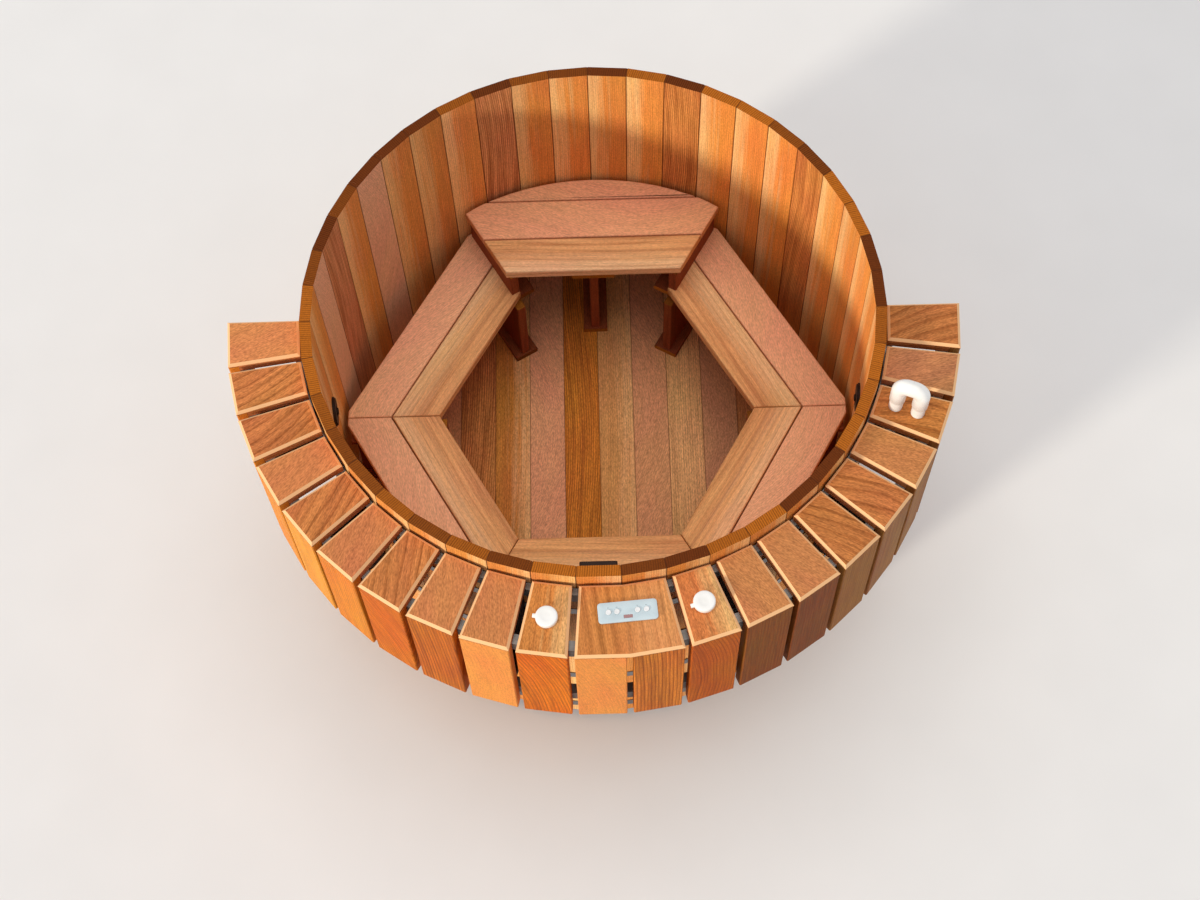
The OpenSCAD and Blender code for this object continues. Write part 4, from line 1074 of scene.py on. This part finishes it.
@dataclass
class AirLoop:
    """Two elbows that join the air risers over the cap board."""

    board: int = 18
    radius: float = 1.01839
    span: float = 0.070
    rise: float = 0.130
    pipe_radius: float = 0.0245
    bend: float = 0.027
    wall: float = 0.0033
    stand: float = 0.048
    lip: float = 0.0009
    gap: float = 0.00005
    segments: int = 40
    bend_steps: int = 12

    def elbow(self, way: int) -> Shape:
        """Makes one elbow.

        Args:
            way: 1 for the inner elbow, which bends outwards, and -1 for the outer one.

        Returns:
            The elbow in the loop's frame.
        """
        shape = bmesh.new()
        narrow = self.pipe_radius - self.lip
        ring = bmesh.ops.create_circle(shape, segments=self.segments, radius=narrow)
        start = Vector((0.0, -self.span / 2, self.stand))
        bmesh.ops.translate(shape, vec=start, verts=ring["verts"])
        edges = shape.edges[:]
        heights = [self.stand + self.lip, self.rise - self.bend]
        axis = Vector((0.0, -self.span / 2, 0.0))
        at = self.stand
        for step, z in enumerate(heights):
            edges, verts = self.grow(shape, edges)
            bmesh.ops.translate(shape, vec=(0.0, 0.0, z - at), verts=verts)
            if step == 0:
                wider = (self.pipe_radius / narrow,) * 2 + (1.0,)
                space = Matrix.Translation(-axis)
                bmesh.ops.scale(shape, vec=wider, space=space, verts=verts)
            at = z
        pivot = Vector((0.0, self.bend - self.span / 2, self.rise - self.bend))
        turn = Matrix.Rotation(-math.pi / 2 / self.bend_steps, 3, "X")
        for _ in range(self.bend_steps):
            edges, verts = self.grow(shape, edges)
            bmesh.ops.rotate(shape, cent=pivot, matrix=turn, verts=verts)
        _, verts = self.grow(shape, edges)
        run = self.span / 2 - self.bend - self.gap
        bmesh.ops.translate(shape, vec=(0.0, run, 0.0), verts=verts)
        bmesh.ops.solidify(shape, geom=shape.faces[:], thickness=self.wall)
        if way < 0:
            bmesh.ops.scale(shape, vec=(1.0, -1.0, 1.0), verts=shape.verts)
        bmesh.ops.recalc_face_normals(shape, faces=shape.faces)
        return shape

    @staticmethod
    def grow(shape: Shape, edges: list[Edge]) -> tuple[list[Edge], list[Corner]]:
        """Extrudes a ring of edges.

        Args:
            shape: The shape that it is in.
            edges: The ring.

        Returns:
            The edges and the corners of the new ring.
        """
        geom = bmesh.ops.extrude_edge_only(shape, edges=edges)["geom"]
        grown = [e for e in geom if isinstance(e, Edge)]
        ring = [e for e in grown if all(v in geom for v in e.verts)]
        return ring, list({v for e in ring for v in e.verts})

    def build(self, finishes: Finishes) -> None:
        """Makes both elbows and dresses the risers."""
        spot = on_board(self.board, self.radius, CAP_TOP)
        both = joined(self.elbow(1), self.elbow(-1))
        placed(
            both, "loop_bends", spot, finishes.white, "tub", ["loop_elbows"], 60.0
        )
        dress(finishes.white, "loop_risers")


@dataclass
class WaterFittings:
    """Jets, skim fitting and drain."""

    def build(self, finishes: Finishes) -> None:
        """Dresses the water fittings' nodes."""
        dress(finishes.dark, "jet_bodies", "jet_nozzle_left", "jet_nozzle_right")
        dress(finishes.dark, "skim_fitting", "skim_cover", "drain_fitting")
        dress(finishes.steel, "drain_grate")


# ---- camera and studio ----


@dataclass(frozen=True)
class Camera:
    """Where the picture is taken from."""

    place: tuple[float, float, float] = (0.0451, -3.0059, 6.3511)
    right: tuple[float, float, float] = (0.99963, -0.02121, -0.01680)
    up: tuple[float, float, float] = (0.02645, 0.89756, 0.44008)
    lens: float = 56.89
    sensor: float = 36.0
    reach: float = 60.0

    def set_up(self) -> None:
        """Makes the camera and turns the scene to it."""
        data = bpy.data.cameras.new("camera")
        data.lens, data.sensor_width, data.clip_end = self.lens, self.sensor, self.reach
        camera = bpy.data.objects.new("camera", data)
        right = Vector(self.right).normalized()
        back = right.cross(Vector(self.up)).normalized()
        turn = Matrix((right, back.cross(right), back)).transposed().to_4x4()
        camera.matrix_world = Matrix.Translation(self.place) @ turn
        bpy.context.scene.collection.objects.link(camera)
        bpy.context.scene.camera = camera


@dataclass(frozen=True)
class Studio:
    """Soft light from the front left and from above, an even surround and a pale floor."""

    key_strength: float = 2.6
    key_angle: float = 6.0
    key_turn: float = 216.0
    key_height: float = 12.8
    key_tint: str = "#fff7e8"
    top_strength: float = 0.95
    top_angle: float = 50.0
    top_turn: float = 90.0
    top_height: float = 86.0
    top_tint: str = "#fffaf2"
    surround: float = 0.62
    surround_tint: str = "#f6f8ff"
    lamp_distance: float = 8.0
    floor_tints: tuple[str, str] = ("#e9e8e6", "#e3e2e0")
    floor_size: float = 30.0
    floor_drop: float = 0.0005

    def set_up(self) -> None:
        """Makes the lamps, the surround and the floor."""
        scene = bpy.context.scene
        scene.view_settings.view_transform = "Standard"
        self.lamp(
            "key", self.key_turn, self.key_height, self.key_strength, self.key_angle, self.key_tint
        )
        self.lamp(
            "overhead", self.top_turn, self.top_height, self.top_strength, self.top_angle,
            self.top_tint,
        )
        scene.world = bpy.data.worlds.new("studio")
        sheet = Sheet(scene.world)
        path = sheet.add("LightPath", out=None)
        seen = path.outputs["Is Camera Ray"]
        for kind in ("Is Glossy Ray", "Is Transmission Ray"):
            seen = sheet.add("Math MAXIMUM", [seen, path.outputs[kind]])
        feeds = {"Color": linear(self.surround_tint), "Strength": self.surround}
        soft = sheet.add("Background", feeds)
        white = sheet.add("Background", {"Color": (1.0, 1.0, 1.0, 1.0), "Strength": 1.0})
        blend = sheet.add("MixShader", [seen, soft, white])
        sheet.add("OutputWorld", {"Surface": blend}, None)
        self.floor()

    def lamp(
        self, name: str, turn: float, height: float, strength: float, angle: float, tint: str
    ) -> None:
        """Makes a distant soft lamp.

        Args:
            name: Name of the lamp.
            turn: Direction in degrees that its light comes from, round the tub.
            height: The same direction's height over the horizon.
            strength: Its strength.
            angle: Width of the lamp as the tub sees it, which softens shadows.
            tint: Its colour.
        """
        data = bpy.data.lights.new(name, "SUN")
        data.energy, data.angle, data.color = strength, math.radians(angle), linear(tint)[:3]
        lamp = bpy.data.objects.new(name, data)
        side, rise = math.radians(turn), math.radians(height)
        flat = math.cos(rise)
        way = Vector((flat * math.cos(side), flat * math.sin(side), math.sin(rise)))
        lamp.location = way * self.lamp_distance
        lamp.rotation_euler = (-way).to_track_quat("-Z", "Y").to_euler()
        bpy.context.scene.collection.objects.link(lamp)

    def floor(self) -> None:
        """Makes the pale floor."""
        shape = bmesh.new()
        bmesh.ops.create_grid(shape, x_segments=1, y_segments=1, size=self.floor_size)
        # just under the joists, so that the two faces never lie in one plane
        bmesh.ops.translate(shape, vec=(0.0, 0.0, -self.floor_drop), verts=shape.verts)
        mesh = bpy.data.meshes.new("studio_floor")
        shape.to_mesh(mesh)
        shape.free()
        sheet = Sheet(bpy.data.materials.new("Studio floor, pale"))
        path = sheet.add("TexCoord", out="Object")
        grain = sheet.add("TexNoise", {"Vector": path, "Scale": 3.0})
        light, dark = (linear(code) for code in self.floor_tints)
        colour = sheet.add("Mix", {0: grain, 6: light, 7: dark}, 2, data_type="RGBA")
        mesh.materials.append(sheet.finish(Base_Color=colour, Roughness=0.9))
        floor = bpy.data.objects.new("studio_floor", mesh)
        bpy.context.scene.collection.objects.link(floor)


def main() -> None:
    """Builds the scene: camera, studio, finishes and every sub-assembly in order."""
    logging.basicConfig(level=logging.INFO, format="%(message)s")
    Camera().set_up()
    Studio().set_up()
    finishes = Finishes()
    for part in (
        Wall(), Benches(), Skirt(), ControlPanel(), AirValve("left", 9), AirValve("right", 12),
        AirLoop(), WaterFittings(),
    ):
        part.build(finishes)
        LOG.info("built %s", type(part).__name__)


if __name__ == "__main__":
    main()
